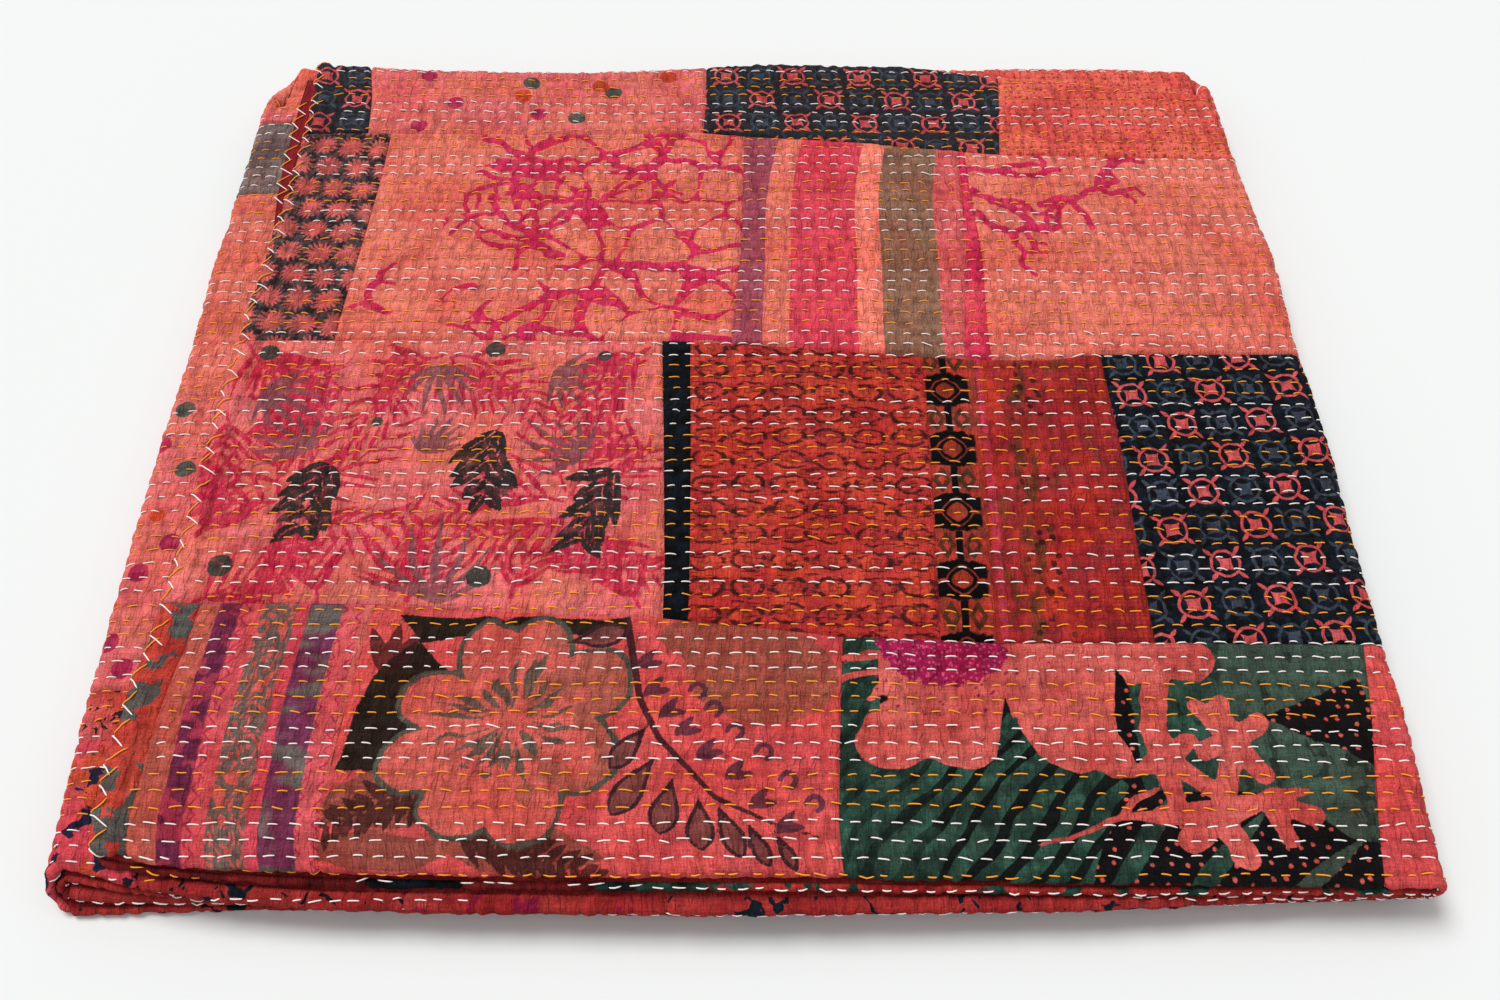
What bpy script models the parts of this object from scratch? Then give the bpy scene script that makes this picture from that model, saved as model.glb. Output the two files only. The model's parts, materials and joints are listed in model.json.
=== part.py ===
"""A hand-stitched patchwork quilt, folded flat into a stack of twelve layers.

The cloth is folded twice. First along its length, into a strip of four layers: both ends turned in
to the middle, then shut like a book. Then the strip is folded across in three, back and forth.

The solid is a loft. One section of the strip, a long closed outline in the Y-Z plane, is carried
along the strip's path: left to right as the top third, round the right fold, back as the middle
third, round the left fold, and out again as the bottom third.

Lengths in this file are in millimetres until the vertices are made. +X is to the right along the
stitched rows, +Y is from the front edge to the back edge, +Z is up, and the origin is under the
middle of the stack.
"""

import math

import bmesh
import bpy

# Driving dimensions, in millimetres
METRES = 0.001
CLOTH = 2.3  # thickness of the quilted cloth
GAP_RIGHT = 0.45  # air between layers where the stack is pressed flat
GAP_LEFT = 0.9  # and where it lies loose
LOOSE_UP_TO_X = 60.0
PRESSED_FROM_X = 370.0

STRIP_LAYERS = 4
FRONT_TURN = 4.5  # how far a two-layer turn bulges forwards
BACK_TURN = 8.0  # how far the four-layer wrap bulges backwards
INNER_HEM_BACK = 12.0  # from the wrap to the two end hems inside it

ROW_PITCH = 10.4  # running-stitch rows, front to back
FIRST_ROW_Y = -345.0
ROW_COUNT = 68
ROW_DEPTH = 0.7  # how far a row is drawn in below the ridges beside it
END_MARGIN = 2.0  # a row closer than this to a turn is left out
LEFT_FOLD_X = -394.0  # nominal places of the two folds across the strip
RIGHT_FOLD_X = 401.0
BARE_STRIP_X = -344.0  # left of this the middle third comes out from under the hem
ROW_FADE = 8.0  # and over this far its rows fade in

TURN_STEPS = 6
WRAP_STEPS = 8
FOLD_STEPS = 8
FADED_STEP = 5  # the step of a fold where its stitched rows have faded out
TURN_REACH = 0.1  # in metres: a run that reaches less than this along Y is a turn
SHARP_ANGLE = 50.0  # degrees between faces, past which an edge is shaded sharp

# The stack's outline from above, by stitched row, counted from the front: the hem of the top third,
# the hem of the layer under it, and the left and right folds.
SIDE_COLUMNS = ("row", "hem", "second_hem", "left_fold", "right_fold")
SIDES = (
    (-2, -346, -344, -389, 401),
    (2, -360, -356, -391, 402),
    (9, -362, -358, -396, 406),
    (18, -355, -353, -399, 406),
    (28, -356, -354, -401, 410),
    (38, -355, -357, -400, 408),
    (45, -353, -352, -403, 412),
    (52, -350, -362, -401, 406),
    (62, -350, -363, -402, 402),
    (68, -357, -362, -396, 399),
)

# How far forwards each two-layer turn reaches, from left to right, for the three thirds.
FRONT_COLUMNS = (
    "x", "top_upper", "top_lower", "middle_upper", "middle_lower", "bottom_upper", "bottom_lower",
)
FRONTS = (
    (-400, -325, -330, -334, -341, -350, -360),
    (-375, -330, -336, -340, -346, -354, -360),
    (-350, -336, -341, -347, -349, -355, -358),
    (-305, -343, -347, -356, -355, -355, -357),
    (-235, -345, -350, -361, -360, -356, -356),
    (-130, -347, -352, -363, -362, -358, -358),
    (20, -347, -353, -365, -363, -358, -358),
    (200, -350, -355, -362, -360, -357, -356),
    (310, -351, -354, -356, -355, -354, -352),
    (395, -352, -354, -354, -353, -351, -349),
)

# How far back the wrap of each third reaches, from left to right.
BACK_COLUMNS = ("x", "top", "middle", "bottom")
BACKS = (
    (-400, 347, 300, 371),
    (-375, 347, 306, 372),
    (-300, 338, 322, 361),
    (-200, 335, 336, 356),
    (-60, 337, 344, 352),
    (0, 344, 348, 352),
    (130, 345, 352, 352),
    (200, 335, 356, 354),
    (300, 323, 358, 354),
    (395, 310, 355, 352),
)

# Where sections stand along each third.
TOP_X = (-235, -130, 20, 200, 300)
MIDDLE_X = (300, 130, 20, -130, -235)
BOTTOM_X = (-300, -235, -130, 20, 200, 300)
NEAR_HEM_X = -320.0
TOP_END_X = -360.0  # nominal place of the top third's hem
BOTTOM_END_X = 378.0  # the bottom third's hem, short of the right fold

CLOTH_COLOUR = (0.62, 0.16, 0.14, 1.0)
CLOTH_ROUGHNESS = 0.9


def between(low, high, share):
    return low + (high - low) * share


def clamp(value, low=0.0, high=1.0):
    return max(low, min(high, value))


def read(table, columns, name, place):
    """A table's value at a place between its rows, held level past its ends."""
    column = columns.index(name)
    if place <= table[0][0]:
        return table[0][column]
    for near, far in zip(table, table[1:]):
        if place <= far[0]:
            return between(near[column], far[column], (place - near[0]) / (far[0] - near[0]))
    return table[-1][column]


def side(name, y):
    return read(SIDES, SIDE_COLUMNS, name, (y - FIRST_ROW_Y) / ROW_PITCH)


def layer_pitch(x):
    """Height from one layer to the next: cloth and the air above it."""
    pressed = clamp((x - LOOSE_UP_TO_X) / (PRESSED_FROM_X - LOOSE_UP_TO_X))
    return CLOTH + between(GAP_LEFT, GAP_RIGHT, pressed)


def fold_radius(pitch):
    """Outer radius of a fold across the strip: four layers and half of the air inside it."""
    return STRIP_LAYERS * pitch - (pitch - CLOTH) / 2


def right_end(fold_x):
    """Where a flat stretch meets the right fold, whose outermost line is at fold_x."""
    return fold_x - fold_radius(layer_pitch(PRESSED_FROM_X))


def left_end(fold_x):
    """Where a flat stretch meets the left fold, whose outermost line is at fold_x."""
    return fold_x + fold_radius(layer_pitch(LOOSE_UP_TO_X))


def stops(start, end, rows):
    """Places along Y from start to end, with those of the given rows that lie between."""
    places = [FIRST_ROW_Y + ROW_PITCH * row for row in rows]
    inner = [y for y in places if min(start, end) + END_MARGIN < y < max(start, end) - END_MARGIN]
    return [start] + sorted(inner, reverse=start > end) + [end]


def ridge(y):
    """Height of the cloth above the bottom of its stitched rows: 0 on a row, ROW_DEPTH between."""
    share = (y - FIRST_ROW_Y) / ROW_PITCH
    return ROW_DEPTH * abs(math.sin(math.pi * share))


class Station:
    """One section of the strip: its third or fold, its place along it and how it is drawn."""

    def __init__(self, third, x, angle=None, rows=None, depth=1.0, full=True, end=False):
        self.third = third  # top, middle or bottom; for a fold, the third that it leaves
        self.x = x
        self.angle = angle  # radians round a fold, or None on a flat stretch
        self.rows = rows  # None, or the outer run whose stitched rows show: "la" or "ld"
        self.depth = depth  # share of the rows' depth
        self.full = full  # whether each run follows the side table, or goes straight
        self.end = end  # whether a hem closes the strip here

    def share(self):
        """0 at the start of a fold and 1 at its end."""
        return 0.0 if self.angle is None else self.angle / math.pi

    def reach(self, turn):
        """How far forwards the turn "a" (under the face) or "b" (the strip's other one) reaches."""
        here = {
            "top": ("top_upper", "top_lower"),
            "middle": ("middle_lower", "middle_upper"),
            "bottom": ("bottom_upper", "bottom_lower"),
        }
        after = {"top": "middle", "middle": "bottom", "bottom": "bottom"}[self.third]
        index = 0 if turn == "a" else 1
        near = read(FRONTS, FRONT_COLUMNS, here[self.third][index], self.x)
        far = read(FRONTS, FRONT_COLUMNS, here[after][index], self.x)
        return between(near, far, self.share())

    def back(self):
        after = {"top": "middle", "middle": "bottom", "bottom": "bottom"}[self.third]
        near = read(BACKS, BACK_COLUMNS, self.third, self.x)
        far = read(BACKS, BACK_COLUMNS, after, self.x)
        return between(near, far, self.share())

    def place(self, y, n, layer):
        """World place of the point at height n in the strip, measured from the strip's underside."""
        pitch = layer_pitch(self.x)
        gap = pitch - CLOTH
        radius = fold_radius(pitch)
        if self.angle is not None and self.third == "top":
            centre = side("right_fold", y) - radius
            arm = n + gap / 2
            across = centre + arm * math.sin(self.angle)
            up = 2 * STRIP_LAYERS * pitch - gap / 2 + arm * math.cos(self.angle)
            return across, y, up
        if self.angle is not None:
            centre = side("left_fold", y) + radius
            arm = STRIP_LAYERS * pitch - gap / 2 - n
            across = centre - arm * math.sin(self.angle)
            up = STRIP_LAYERS * pitch - gap / 2 + arm * math.cos(self.angle)
            return across, y, up
        up = {
            "top": 2 * STRIP_LAYERS * pitch + n,
            "middle": 2 * STRIP_LAYERS * pitch - gap - n,
            "bottom": n,
        }[self.third]
        return self.across(y, layer), y, up

    def across(self, y, layer):
        """X on a flat stretch, so that the stretch starts and ends on its hem or fold."""
        left, right = left_end(side("left_fold", y)), right_end(side("right_fold", y))
        left_flat, right_flat = left_end(LEFT_FOLD_X), right_end(RIGHT_FOLD_X)
        if self.third == "top":
            hem = side("second_hem" if layer == "lb" else "hem", y)
            share = (self.x - TOP_END_X) / (right_flat - TOP_END_X)
            return between(hem, right, share)
        if self.third == "middle":
            share = (self.x - left_flat) / (right_flat - left_flat)
            return between(left, right, share)
        share = (self.x - left_flat) / (BOTTOM_END_X - left_flat)
        return between(left, BOTTOM_END_X, share)


def flat_run(station, layer, start, end, n, outer):
    """One face of one layer, front to back or back to front."""
    shows = outer and station.rows == layer
    if station.rows == layer and (outer or station.end):
        places = stops(start, end, [half / 2 for half in range(2 * ROW_COUNT)])
    elif station.full:
        places = stops(start, end, [row[0] for row in SIDES])
    else:
        places = [start, end]
    lift = station.depth * (1.0 if layer == "la" else -1.0)
    points = []
    for y in places:
        raised = lift * ridge(y) if shows and y not in (start, end) else 0.0
        points.append(station.place(y, n + raised, layer))
    return points


def turn_run(station, layers, y, bulge, middle, height, steps):
    """Half an oval between two layers, from middle + height to middle - height."""
    points = []
    for step in range(steps + 1):
        angle = math.pi * step / steps
        layer = layers[0] if step * 2 < steps else layers[1]
        points.append(station.place(y + bulge * math.sin(angle), middle + height * math.cos(angle), layer))
    return points


def cloth_side(station, outer):
    """The strip's section along one side of the cloth, the face (outer) or the back, as seven runs.

    The four layers, from the strip's underside up, are ld, lc, lb and la. The path through the cloth
    is lc, front turn b, ld, back wrap, la, front turn a, lb.
    """
    pitch = layer_pitch(station.x)
    half_gap = (pitch - CLOTH) / 2
    cover = CLOTH if outer else 0.0
    reach = half_gap + cover  # from the middle of a two-layer turn to this side of its layers
    middle_b, middle_a = pitch - half_gap, 3 * pitch - half_gap
    front_b, front_a = (station.reach(turn) + FRONT_TURN for turn in "ba")
    bulge = FRONT_TURN - CLOTH + cover
    steps = TURN_STEPS if outer else TURN_STEPS // 2
    back = station.back() - BACK_TURN
    hem = back - INNER_HEM_BACK
    wrap_bulge = BACK_TURN - CLOTH + cover
    wrap_middle = (3 * pitch + CLOTH) / 2
    wrap_height = wrap_middle - CLOTH + cover
    return [
        flat_run(station, "lc", hem, front_b, middle_b + reach, outer),
        turn_run(station, ("lc", "ld"), front_b, -bulge, middle_b, reach, steps),
        flat_run(station, "ld", front_b, back, middle_b - reach, outer),
        turn_run(station, ("ld", "la"), back, wrap_bulge, wrap_middle, -wrap_height, WRAP_STEPS),
        flat_run(station, "la", back, front_a, middle_a + reach, outer),
        turn_run(station, ("la", "lb"), front_a, -bulge, middle_a, reach, steps),
        flat_run(station, "lb", front_a, hem, middle_a - reach, outer),
    ]


def stations():
    """Every section, along the strip from the top third's hem to the bottom third's hem."""
    path = [Station("top", TOP_END_X, rows="la", end=True)]
    path += [Station("top", NEAR_HEM_X, rows="la")]
    path += [Station("top", x, rows="la", full=False) for x in TOP_X]
    path += fold("top", right_end(RIGHT_FOLD_X), "la")
    path += [Station("middle", x, full=False) for x in MIDDLE_X]
    path += [Station("middle", NEAR_HEM_X)]
    path += [Station("middle", BARE_STRIP_X, rows="ld", depth=0.0)]
    path += [Station("middle", BARE_STRIP_X - ROW_FADE, rows="ld")]
    path += fold("middle", left_end(LEFT_FOLD_X), "ld")
    path += [Station("bottom", x, full=False) for x in BOTTOM_X]
    path.append(Station("bottom", BOTTOM_END_X, full=False, end=True))
    return path


def fold(third, x, rows):
    """The sections round a fold. The stitched rows fade out below its outermost line."""
    sections = []
    for step in range(FOLD_STEPS + 1):
        depth = clamp(FADED_STEP - step)
        shown = rows if step <= FADED_STEP else None
        sections.append(Station(third, x, math.pi * step / FOLD_STEPS, shown, depth))
    return sections


def chain(mesh, runs):
    """Vertices for a list of runs that meet end to end, as one list of vertices for each run."""
    made = []
    last = None
    for run in runs:
        row = [last] if last is not None else [mesh.verts.new([METRES * c for c in run[0]])]
        row += [mesh.verts.new([METRES * c for c in point]) for point in run[1:]]
        last = row[-1]
        made.append(row)
    return made


def shares(row):
    """How far along its run each vertex lies, from 0 to 1: along Y, or by count round a turn."""
    reach = row[-1].co.y - row[0].co.y
    if abs(reach) < TURN_REACH:
        return [index / (len(row) - 1) for index in range(len(row))]
    return [(vertex.co.y - row[0].co.y) / reach for vertex in row]


def zip_runs(mesh, first, second, flip=False):
    """Triangles between two runs that need not have the same number of vertices."""
    along_first, along_second = shares(first), shares(second)
    i = j = 0
    while i < len(first) - 1 or j < len(second) - 1:
        next_first = along_first[i + 1] if i < len(first) - 1 else 2.0
        next_second = along_second[j + 1] if j < len(second) - 1 else 2.0
        if next_first <= next_second:
            corners = (first[i], second[j], first[i + 1])
            i += 1
        else:
            corners = (first[i], second[j], second[j + 1])
            j += 1
        mesh.faces.new(corners[::-1] if flip else corners)


def hem_wall(mesh, here, there, run, end, flip):
    """The narrow wall along one of the strip's two long hems, between two sections."""
    corners = [here[0][run][end], here[1][run][end], there[1][run][end], there[0][run][end]]
    mesh.faces.new(corners[::-1] if flip else corners)


def folded_quilt():
    mesh = bmesh.new()
    loft = []
    for station in stations():
        loft.append([chain(mesh, cloth_side(station, outer)) for outer in (True, False)])

    for here, there in zip(loft, loft[1:]):
        for side_here, side_there, flip in zip(here, there, (False, True)):
            for run_here, run_there in zip(side_here, side_there):
                zip_runs(mesh, run_here, run_there, flip)
        hem_wall(mesh, here, there, 0, 0, False)
        hem_wall(mesh, here, there, -1, -1, True)
    for face_side, back_side in (loft[0], loft[-1]):
        for outer_run, inner_run in zip(face_side, back_side):
            zip_runs(mesh, outer_run, inner_run)

    bmesh.ops.triangulate(mesh, faces=mesh.faces)
    bmesh.ops.recalc_face_normals(mesh, faces=mesh.faces)
    return mesh


def stand_on_origin(mesh):
    """Moves the stack so that the middle of its base is the origin."""
    lows = [min(vertex.co[axis] for vertex in mesh.verts) for axis in range(3)]
    highs = [max(vertex.co[axis] for vertex in mesh.verts) for axis in range(3)]
    shift = (-(lows[0] + highs[0]) / 2, -(lows[1] + highs[1]) / 2, -lows[2])
    bmesh.ops.translate(mesh, verts=mesh.verts, vec=shift)


def cloth_material():
    material = bpy.data.materials.new("quilted_cotton")
    material.use_nodes = True
    shader = material.node_tree.nodes["Principled BSDF"]
    shader.inputs["Base Color"].default_value = CLOTH_COLOUR
    shader.inputs["Roughness"].default_value = CLOTH_ROUGHNESS
    shader.inputs["Metallic"].default_value = 0.0
    return material


def build():
    for old in list(bpy.data.objects):
        bpy.data.objects.remove(old, do_unlink=True)
    collection = bpy.data.collections.new("kantha_quilt")
    bpy.context.scene.collection.children.link(collection)

    mesh = folded_quilt()
    stand_on_origin(mesh)
    data = bpy.data.meshes.new("quilt")
    mesh.to_mesh(data)
    mesh.free()
    data.materials.append(cloth_material())
    data.shade_smooth()
    data.set_sharp_from_angle(angle=math.radians(SHARP_ANGLE))
    collection.objects.link(bpy.data.objects.new("quilt", data))


build()
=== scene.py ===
# A folded kantha quilt: its cloth, patches and sewing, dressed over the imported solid.
import json
import math
import random as chance
from functools import partial

import bpy
import numpy as np
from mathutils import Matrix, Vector

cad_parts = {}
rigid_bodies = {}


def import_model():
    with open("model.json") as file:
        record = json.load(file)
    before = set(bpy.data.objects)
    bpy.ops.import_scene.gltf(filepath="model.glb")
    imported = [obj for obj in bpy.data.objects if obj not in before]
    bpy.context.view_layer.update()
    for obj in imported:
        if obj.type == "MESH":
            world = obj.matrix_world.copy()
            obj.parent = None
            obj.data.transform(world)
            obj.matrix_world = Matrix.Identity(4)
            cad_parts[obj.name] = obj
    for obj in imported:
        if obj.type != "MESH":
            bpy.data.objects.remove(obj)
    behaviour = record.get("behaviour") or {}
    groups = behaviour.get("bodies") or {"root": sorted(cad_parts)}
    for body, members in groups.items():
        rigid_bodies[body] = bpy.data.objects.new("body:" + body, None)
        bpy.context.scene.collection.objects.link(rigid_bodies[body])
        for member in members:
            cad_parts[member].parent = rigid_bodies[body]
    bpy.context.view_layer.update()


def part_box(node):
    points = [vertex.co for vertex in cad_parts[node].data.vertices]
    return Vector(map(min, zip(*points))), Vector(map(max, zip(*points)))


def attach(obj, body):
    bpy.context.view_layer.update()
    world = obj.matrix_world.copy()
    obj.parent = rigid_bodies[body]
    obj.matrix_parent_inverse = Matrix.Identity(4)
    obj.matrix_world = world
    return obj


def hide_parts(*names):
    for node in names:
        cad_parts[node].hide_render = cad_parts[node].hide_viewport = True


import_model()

mm = 0.001
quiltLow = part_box("quilt")[0]

# The cloth lies in a strip of four layers, which goes back and forth three times. A place on the
# strip is (b, c): b runs along it from the top hem, c runs from front to back, both in millimetres.

strip = {
    "cloth": 2.3, "gapRight": 0.45, "gapLeft": 0.9, "looseUpToX": 60.0, "pressedFromX": 370.0,
    "frontTurn": 4.5, "backTurn": 8.0, "hemBack": 12.0,
    "topHem": -360.0, "bottomHem": 378.0, "leftFold": -394.0, "rightFold": 401.0,
    "lowX": -403.557, "lowY": -364.95,  # the stack's lowest corner before it stands on the origin
    "rowPitch": 10.4, "firstRow": -345.0, "stitchPitch": 11.8,
}
sides = {
    "row": (-2, 2, 9, 18, 28, 38, 45, 52, 62, 68),
    "hem": (-346, -360, -362, -355, -356, -355, -353, -350, -350, -357),
    "secondHem": (-344, -356, -358, -353, -354, -357, -352, -362, -363, -362),
    "left": (-389, -391, -396, -399, -401, -400, -403, -401, -402, -396),
    "right": (401, 402, 406, 406, 410, 408, 412, 406, 402, 399),
}
fronts = {
    "x": (-400, -375, -350, -305, -235, -130, 20, 200, 310, 395),
    "topUpper": (-325, -330, -336, -343, -345, -347, -347, -350, -351, -352),
    "topLower": (-330, -336, -341, -347, -350, -352, -353, -355, -354, -354),
    "middleUpper": (-334, -340, -347, -356, -361, -363, -365, -362, -356, -354),
    "middleLower": (-341, -346, -349, -355, -360, -362, -363, -360, -355, -353),
    "bottomUpper": (-350, -354, -355, -355, -356, -358, -358, -357, -354, -351),
    "bottomLower": (-360, -360, -358, -357, -356, -358, -358, -356, -352, -349),
}
backs = {
    "x": (-400, -375, -300, -200, -60, 0, 130, 200, 300, 395),
    "top": (347, 347, 338, 335, 337, 344, 345, 335, 323, 310),
    "middle": (300, 306, 322, 336, 344, 348, 352, 356, 358, 355),
    "bottom": (371, 372, 361, 356, 352, 352, 352, 354, 354, 352),
}
cloth = strip["cloth"]


def softRead(place, places, values, spread):  # a table's value, softened over its corners
    offsets = np.linspace(-spread, spread, 7)
    return np.mean([np.interp(place + offset, places, values) for offset in offsets], axis=0)


def side(name, y):
    return softRead((y - strip["firstRow"]) / strip["rowPitch"], sides["row"], sides[name], 1.5)


def layerPitch(x):
    pressed = np.clip((x - strip["looseUpToX"]) / (strip["pressedFromX"] - strip["looseUpToX"]), 0, 1)
    return cloth + strip["gapLeft"] + (strip["gapRight"] - strip["gapLeft"]) * pressed


def foldRadius(pitch):
    return 4 * pitch - (pitch - cloth) / 2


rightRadius = float(foldRadius(layerPitch(strip["pressedFromX"])))
leftRadius = float(foldRadius(layerPitch(strip["looseUpToX"])))
rightFlat = strip["rightFold"] - rightRadius
leftFlat = strip["leftFold"] + leftRadius
# Where the stretches end along b: top third, right fold, middle third, left fold, bottom third
endTop = rightFlat - strip["topHem"]
endRight = endTop + math.pi * rightRadius
endMiddle = endRight + rightFlat - leftFlat
endLeft = endMiddle + math.pi * leftRadius
endBottom = endLeft + strip["bottomHem"] - leftFlat
stretches = (-100.0, endTop, endRight, endMiddle, endLeft, endBottom)
stretchX = (strip["topHem"] - 100.0, rightFlat, rightFlat, leftFlat, leftFlat, strip["bottomHem"])


def alongStrip(b):  # nominal x, and how far round the right and the left fold, in radians
    x = np.interp(b, stretches, stretchX)
    aroundRight = np.clip((b - endTop) / (endRight - endTop), 0, 1) * math.pi
    aroundLeft = np.clip((b - endMiddle) / (endLeft - endMiddle), 0, 1) * math.pi
    return x, aroundRight, aroundLeft


def reach(b, table, names):  # how far forwards or backwards the cloth reaches at b
    x, aroundRight, aroundLeft = alongStrip(b)
    top, middle, bottom = (softRead(x, table["x"], table[name], 25) for name in names)
    upper = top + (middle - top) * aroundRight / math.pi
    return upper + (bottom - upper) * aroundLeft / math.pi


def frontOfFace(b):  # where the outer layer's flat ends and its front turn starts
    return reach(b, fronts, ("topUpper", "middleLower", "bottomUpper")) + strip["frontTurn"]


def frontOfUnder(b):
    return reach(b, fronts, ("topLower", "middleUpper", "bottomLower")) + strip["frontTurn"]


def frontOf(b, under):
    return frontOfUnder(b) if under else frontOfFace(b)


def backOfFlat(b):
    return reach(b, backs, ("top", "middle", "bottom")) - strip["backTurn"]


def softNoise(u, v, seed):  # smooth random heights from -1 to 1, about one bump a unit
    grid = np.random.default_rng(seed).uniform(-1, 1, (128, 128))
    u, v = np.asarray(u, float) + 500.0, np.asarray(v, float) + 500.0
    iu, iv = np.floor(u).astype(int), np.floor(v).astype(int)
    fu, fv = u - iu, v - iv
    fu, fv = fu * fu * (3 - 2 * fu), fv * fv * (3 - 2 * fv)
    low = grid[iu % 128, iv % 128] * (1 - fu) + grid[(iu + 1) % 128, iv % 128] * fu
    high = grid[iu % 128, (iv + 1) % 128] * (1 - fu) + grid[(iu + 1) % 128, (iv + 1) % 128] * fu
    return low * (1 - fv) + high * fv


uneven = {  # heights of soft noise, as (most height, size along, size across, seed)
    "swell": ((1.3, 120, 95, 18), (0.55, 33, 29, 17)),  # how the top third rises and sinks
    "wobble": ((1.3, 130, 26, 11), (0.455, 40, 16, 12)),  # how far a row strays from its ruled line
    "drift": ((3.2, 90, 45, 13), (1.6, 70, 11, 14)),  # how far neighbouring rows' stitches stray
    "ridge": ((0.35, 23, 19, 15),), "wrinkle": ((0.8, 3.3, 9, 16),), "pleat": ((0.7, 13, 3.1, 19),),
}


def unevenness(name, b, c):
    return sum(high * softNoise(b / along, c / across, seed) for high, along, across, seed in uneven[name])


def place(b, y, n, hem="hem"):  # world place in metres; n is the height inside the strip
    x, aroundRight, aroundLeft = alongStrip(b)
    pitch = layerPitch(x)
    gap = pitch - cloth
    hemX = side(hem, y)
    right, left = side("right", y) - rightRadius, side("left", y) + leftRadius
    onTop = hemX + (right - hemX) * (x - strip["topHem"]) / (rightFlat - strip["topHem"])
    onMiddle = left + (right - left) * (x - leftFlat) / (rightFlat - leftFlat)
    onBottom = left + (strip["bottomHem"] - left) * (x - leftFlat) / (strip["bottomHem"] - leftFlat)
    flatX = np.where(b < endTop, onTop, np.where(b < endMiddle, onMiddle, onBottom))
    armRight, armLeft = n + gap / 2, 4 * pitch - gap / 2 - n
    nearRight = b < (endRight + endMiddle) / 2
    outX = np.where(nearRight, armRight * np.sin(aroundRight), -armLeft * np.sin(aroundLeft))
    highRight = 8 * pitch - gap / 2 + armRight * np.cos(aroundRight)
    highLeft = 4 * pitch - gap / 2 + armLeft * np.cos(aroundLeft)
    z = np.where(nearRight, highRight, highLeft)
    z = z + unevenness("swell", b, y) * np.clip(n / (3 * pitch + cloth), 0, 1) * np.cos(aroundRight / 2) ** 2
    moveX = quiltLow.x / mm - strip["lowX"]
    moveY = quiltLow.y / mm - strip["lowY"]
    return np.stack([flatX + outX + moveX, y + moveY, z], axis=-1) * mm


def ovalLength(wide, high):
    return math.pi * np.sqrt((wide * wide + high * high) / 2)


hemRoll = {"length": 4.4, "wide": 1.5, "high": 1.15}


def facePoint(b, c, under=False):
    # A place on the cloth's face. The face layer is the strip's upper one, and the under layer its
    # lower one. c goes on round the front turn and the back wrap by its length on the cloth.
    over = np.clip(-b / hemRoll["length"], 0, 1) * math.pi
    flatB = np.where(b < 0, -hemRoll["wide"] * np.sin(over), b)
    pitch = layerPitch(alongStrip(flatB)[0])
    halfGap = (pitch - cloth) / 2
    front = frontOf(flatB, under)
    back = backOfFlat(flatB)
    turnHigh, wrapHigh = halfGap + cloth, (3 * pitch + cloth) / 2
    turnLength = ovalLength(strip["frontTurn"], turnHigh)
    wrapLength = ovalLength(strip["backTurn"], wrapHigh)
    forward, backward = np.maximum(front - c, 0), np.maximum(c - back, 0)
    turned = np.clip(forward / turnLength, 0, 1) * math.pi
    wrapped = np.clip(backward / wrapLength, 0, 1) * math.pi
    inside = np.maximum(forward - turnLength, 0) - np.maximum(backward - wrapLength, 0)
    y = np.clip(c, front, back) - strip["frontTurn"] * np.sin(turned)
    y = y + strip["backTurn"] * np.sin(wrapped) + inside
    up = turnHigh * (np.cos(turned) - 1) + wrapHigh * (np.cos(wrapped) - 1)
    if under:
        n = -up
    else:
        n = 3 * pitch + cloth + up - np.where(b < 0, hemRoll["high"] * (1 - np.cos(over)), 0)
    return place(flatB, y, n)


def unit(vectors):
    return vectors / np.maximum(np.linalg.norm(vectors, axis=-1, keepdims=True), 1e-12)


def faceNormal(b, c, under=False, step=0.5):
    alongB = facePoint(b + step, c, under) - facePoint(b - step, c, under)
    alongC = facePoint(b, c + step, under) - facePoint(b, c - step, under)
    return unit(np.cross(alongB, alongC) * (-1 if under else 1))


# Relief of the sewn cloth, in millimetres.

relief = {
    "rowHeight": 1.4, "ridgePower": 0.8, "ridgeBase": 0.85, "puff": 0.2, "rowPuff": 0.22, "sink": 0.35,
    "hemRise": 0.9, "hemWidth": 10.5, "hemGroove": 0.9, "grooveAt": 12.5, "grooveWidth": 1.8,
    "pleatsAt": 8, "pleatsReach": 9,
}
sewnRows = {"number": (-7, 1, 15, 67, 77), "c": (-414.0, -337.0, -202.0, 332.0, 434.7)}


def bell(value, middle, width):
    return np.exp(-(((value - middle) / width) ** 2))


def clothHeight(b, c, under=False):  # height of the puckered cloth over its even surface
    row = np.interp(c - unevenness("wobble", b, c), sewnRows["c"], sewnRows["number"])
    along = (b - unevenness("drift", b, c)) / strip["stitchPitch"]
    ridge = np.abs(np.sin(math.pi * row)) ** relief["ridgePower"]
    puff = 0.5 - 0.5 * np.cos(2 * math.pi * along)
    strength = relief["ridgeBase"] + unevenness("ridge", b, c)
    height = relief["rowHeight"] * ridge * strength * (1 - relief["puff"] + relief["puff"] * puff)
    height = height + relief["rowPuff"] * puff * (1 - ridge) + unevenness("wrinkle", b, c)
    height = height + unevenness("pleat", b, c) * bell(b, relief["pleatsAt"], relief["pleatsReach"])
    if not under:  # the turned hem stands up, with a groove behind it
        band = np.clip(b / 2, 0, 1) * np.clip((relief["hemWidth"] - b) / 1.5, 0, 1)
        groove = bell(b, relief["grooveAt"], relief["grooveWidth"])
        height = height + relief["hemRise"] * band - relief["hemGroove"] * groove
    return height - relief["sink"]


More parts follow.
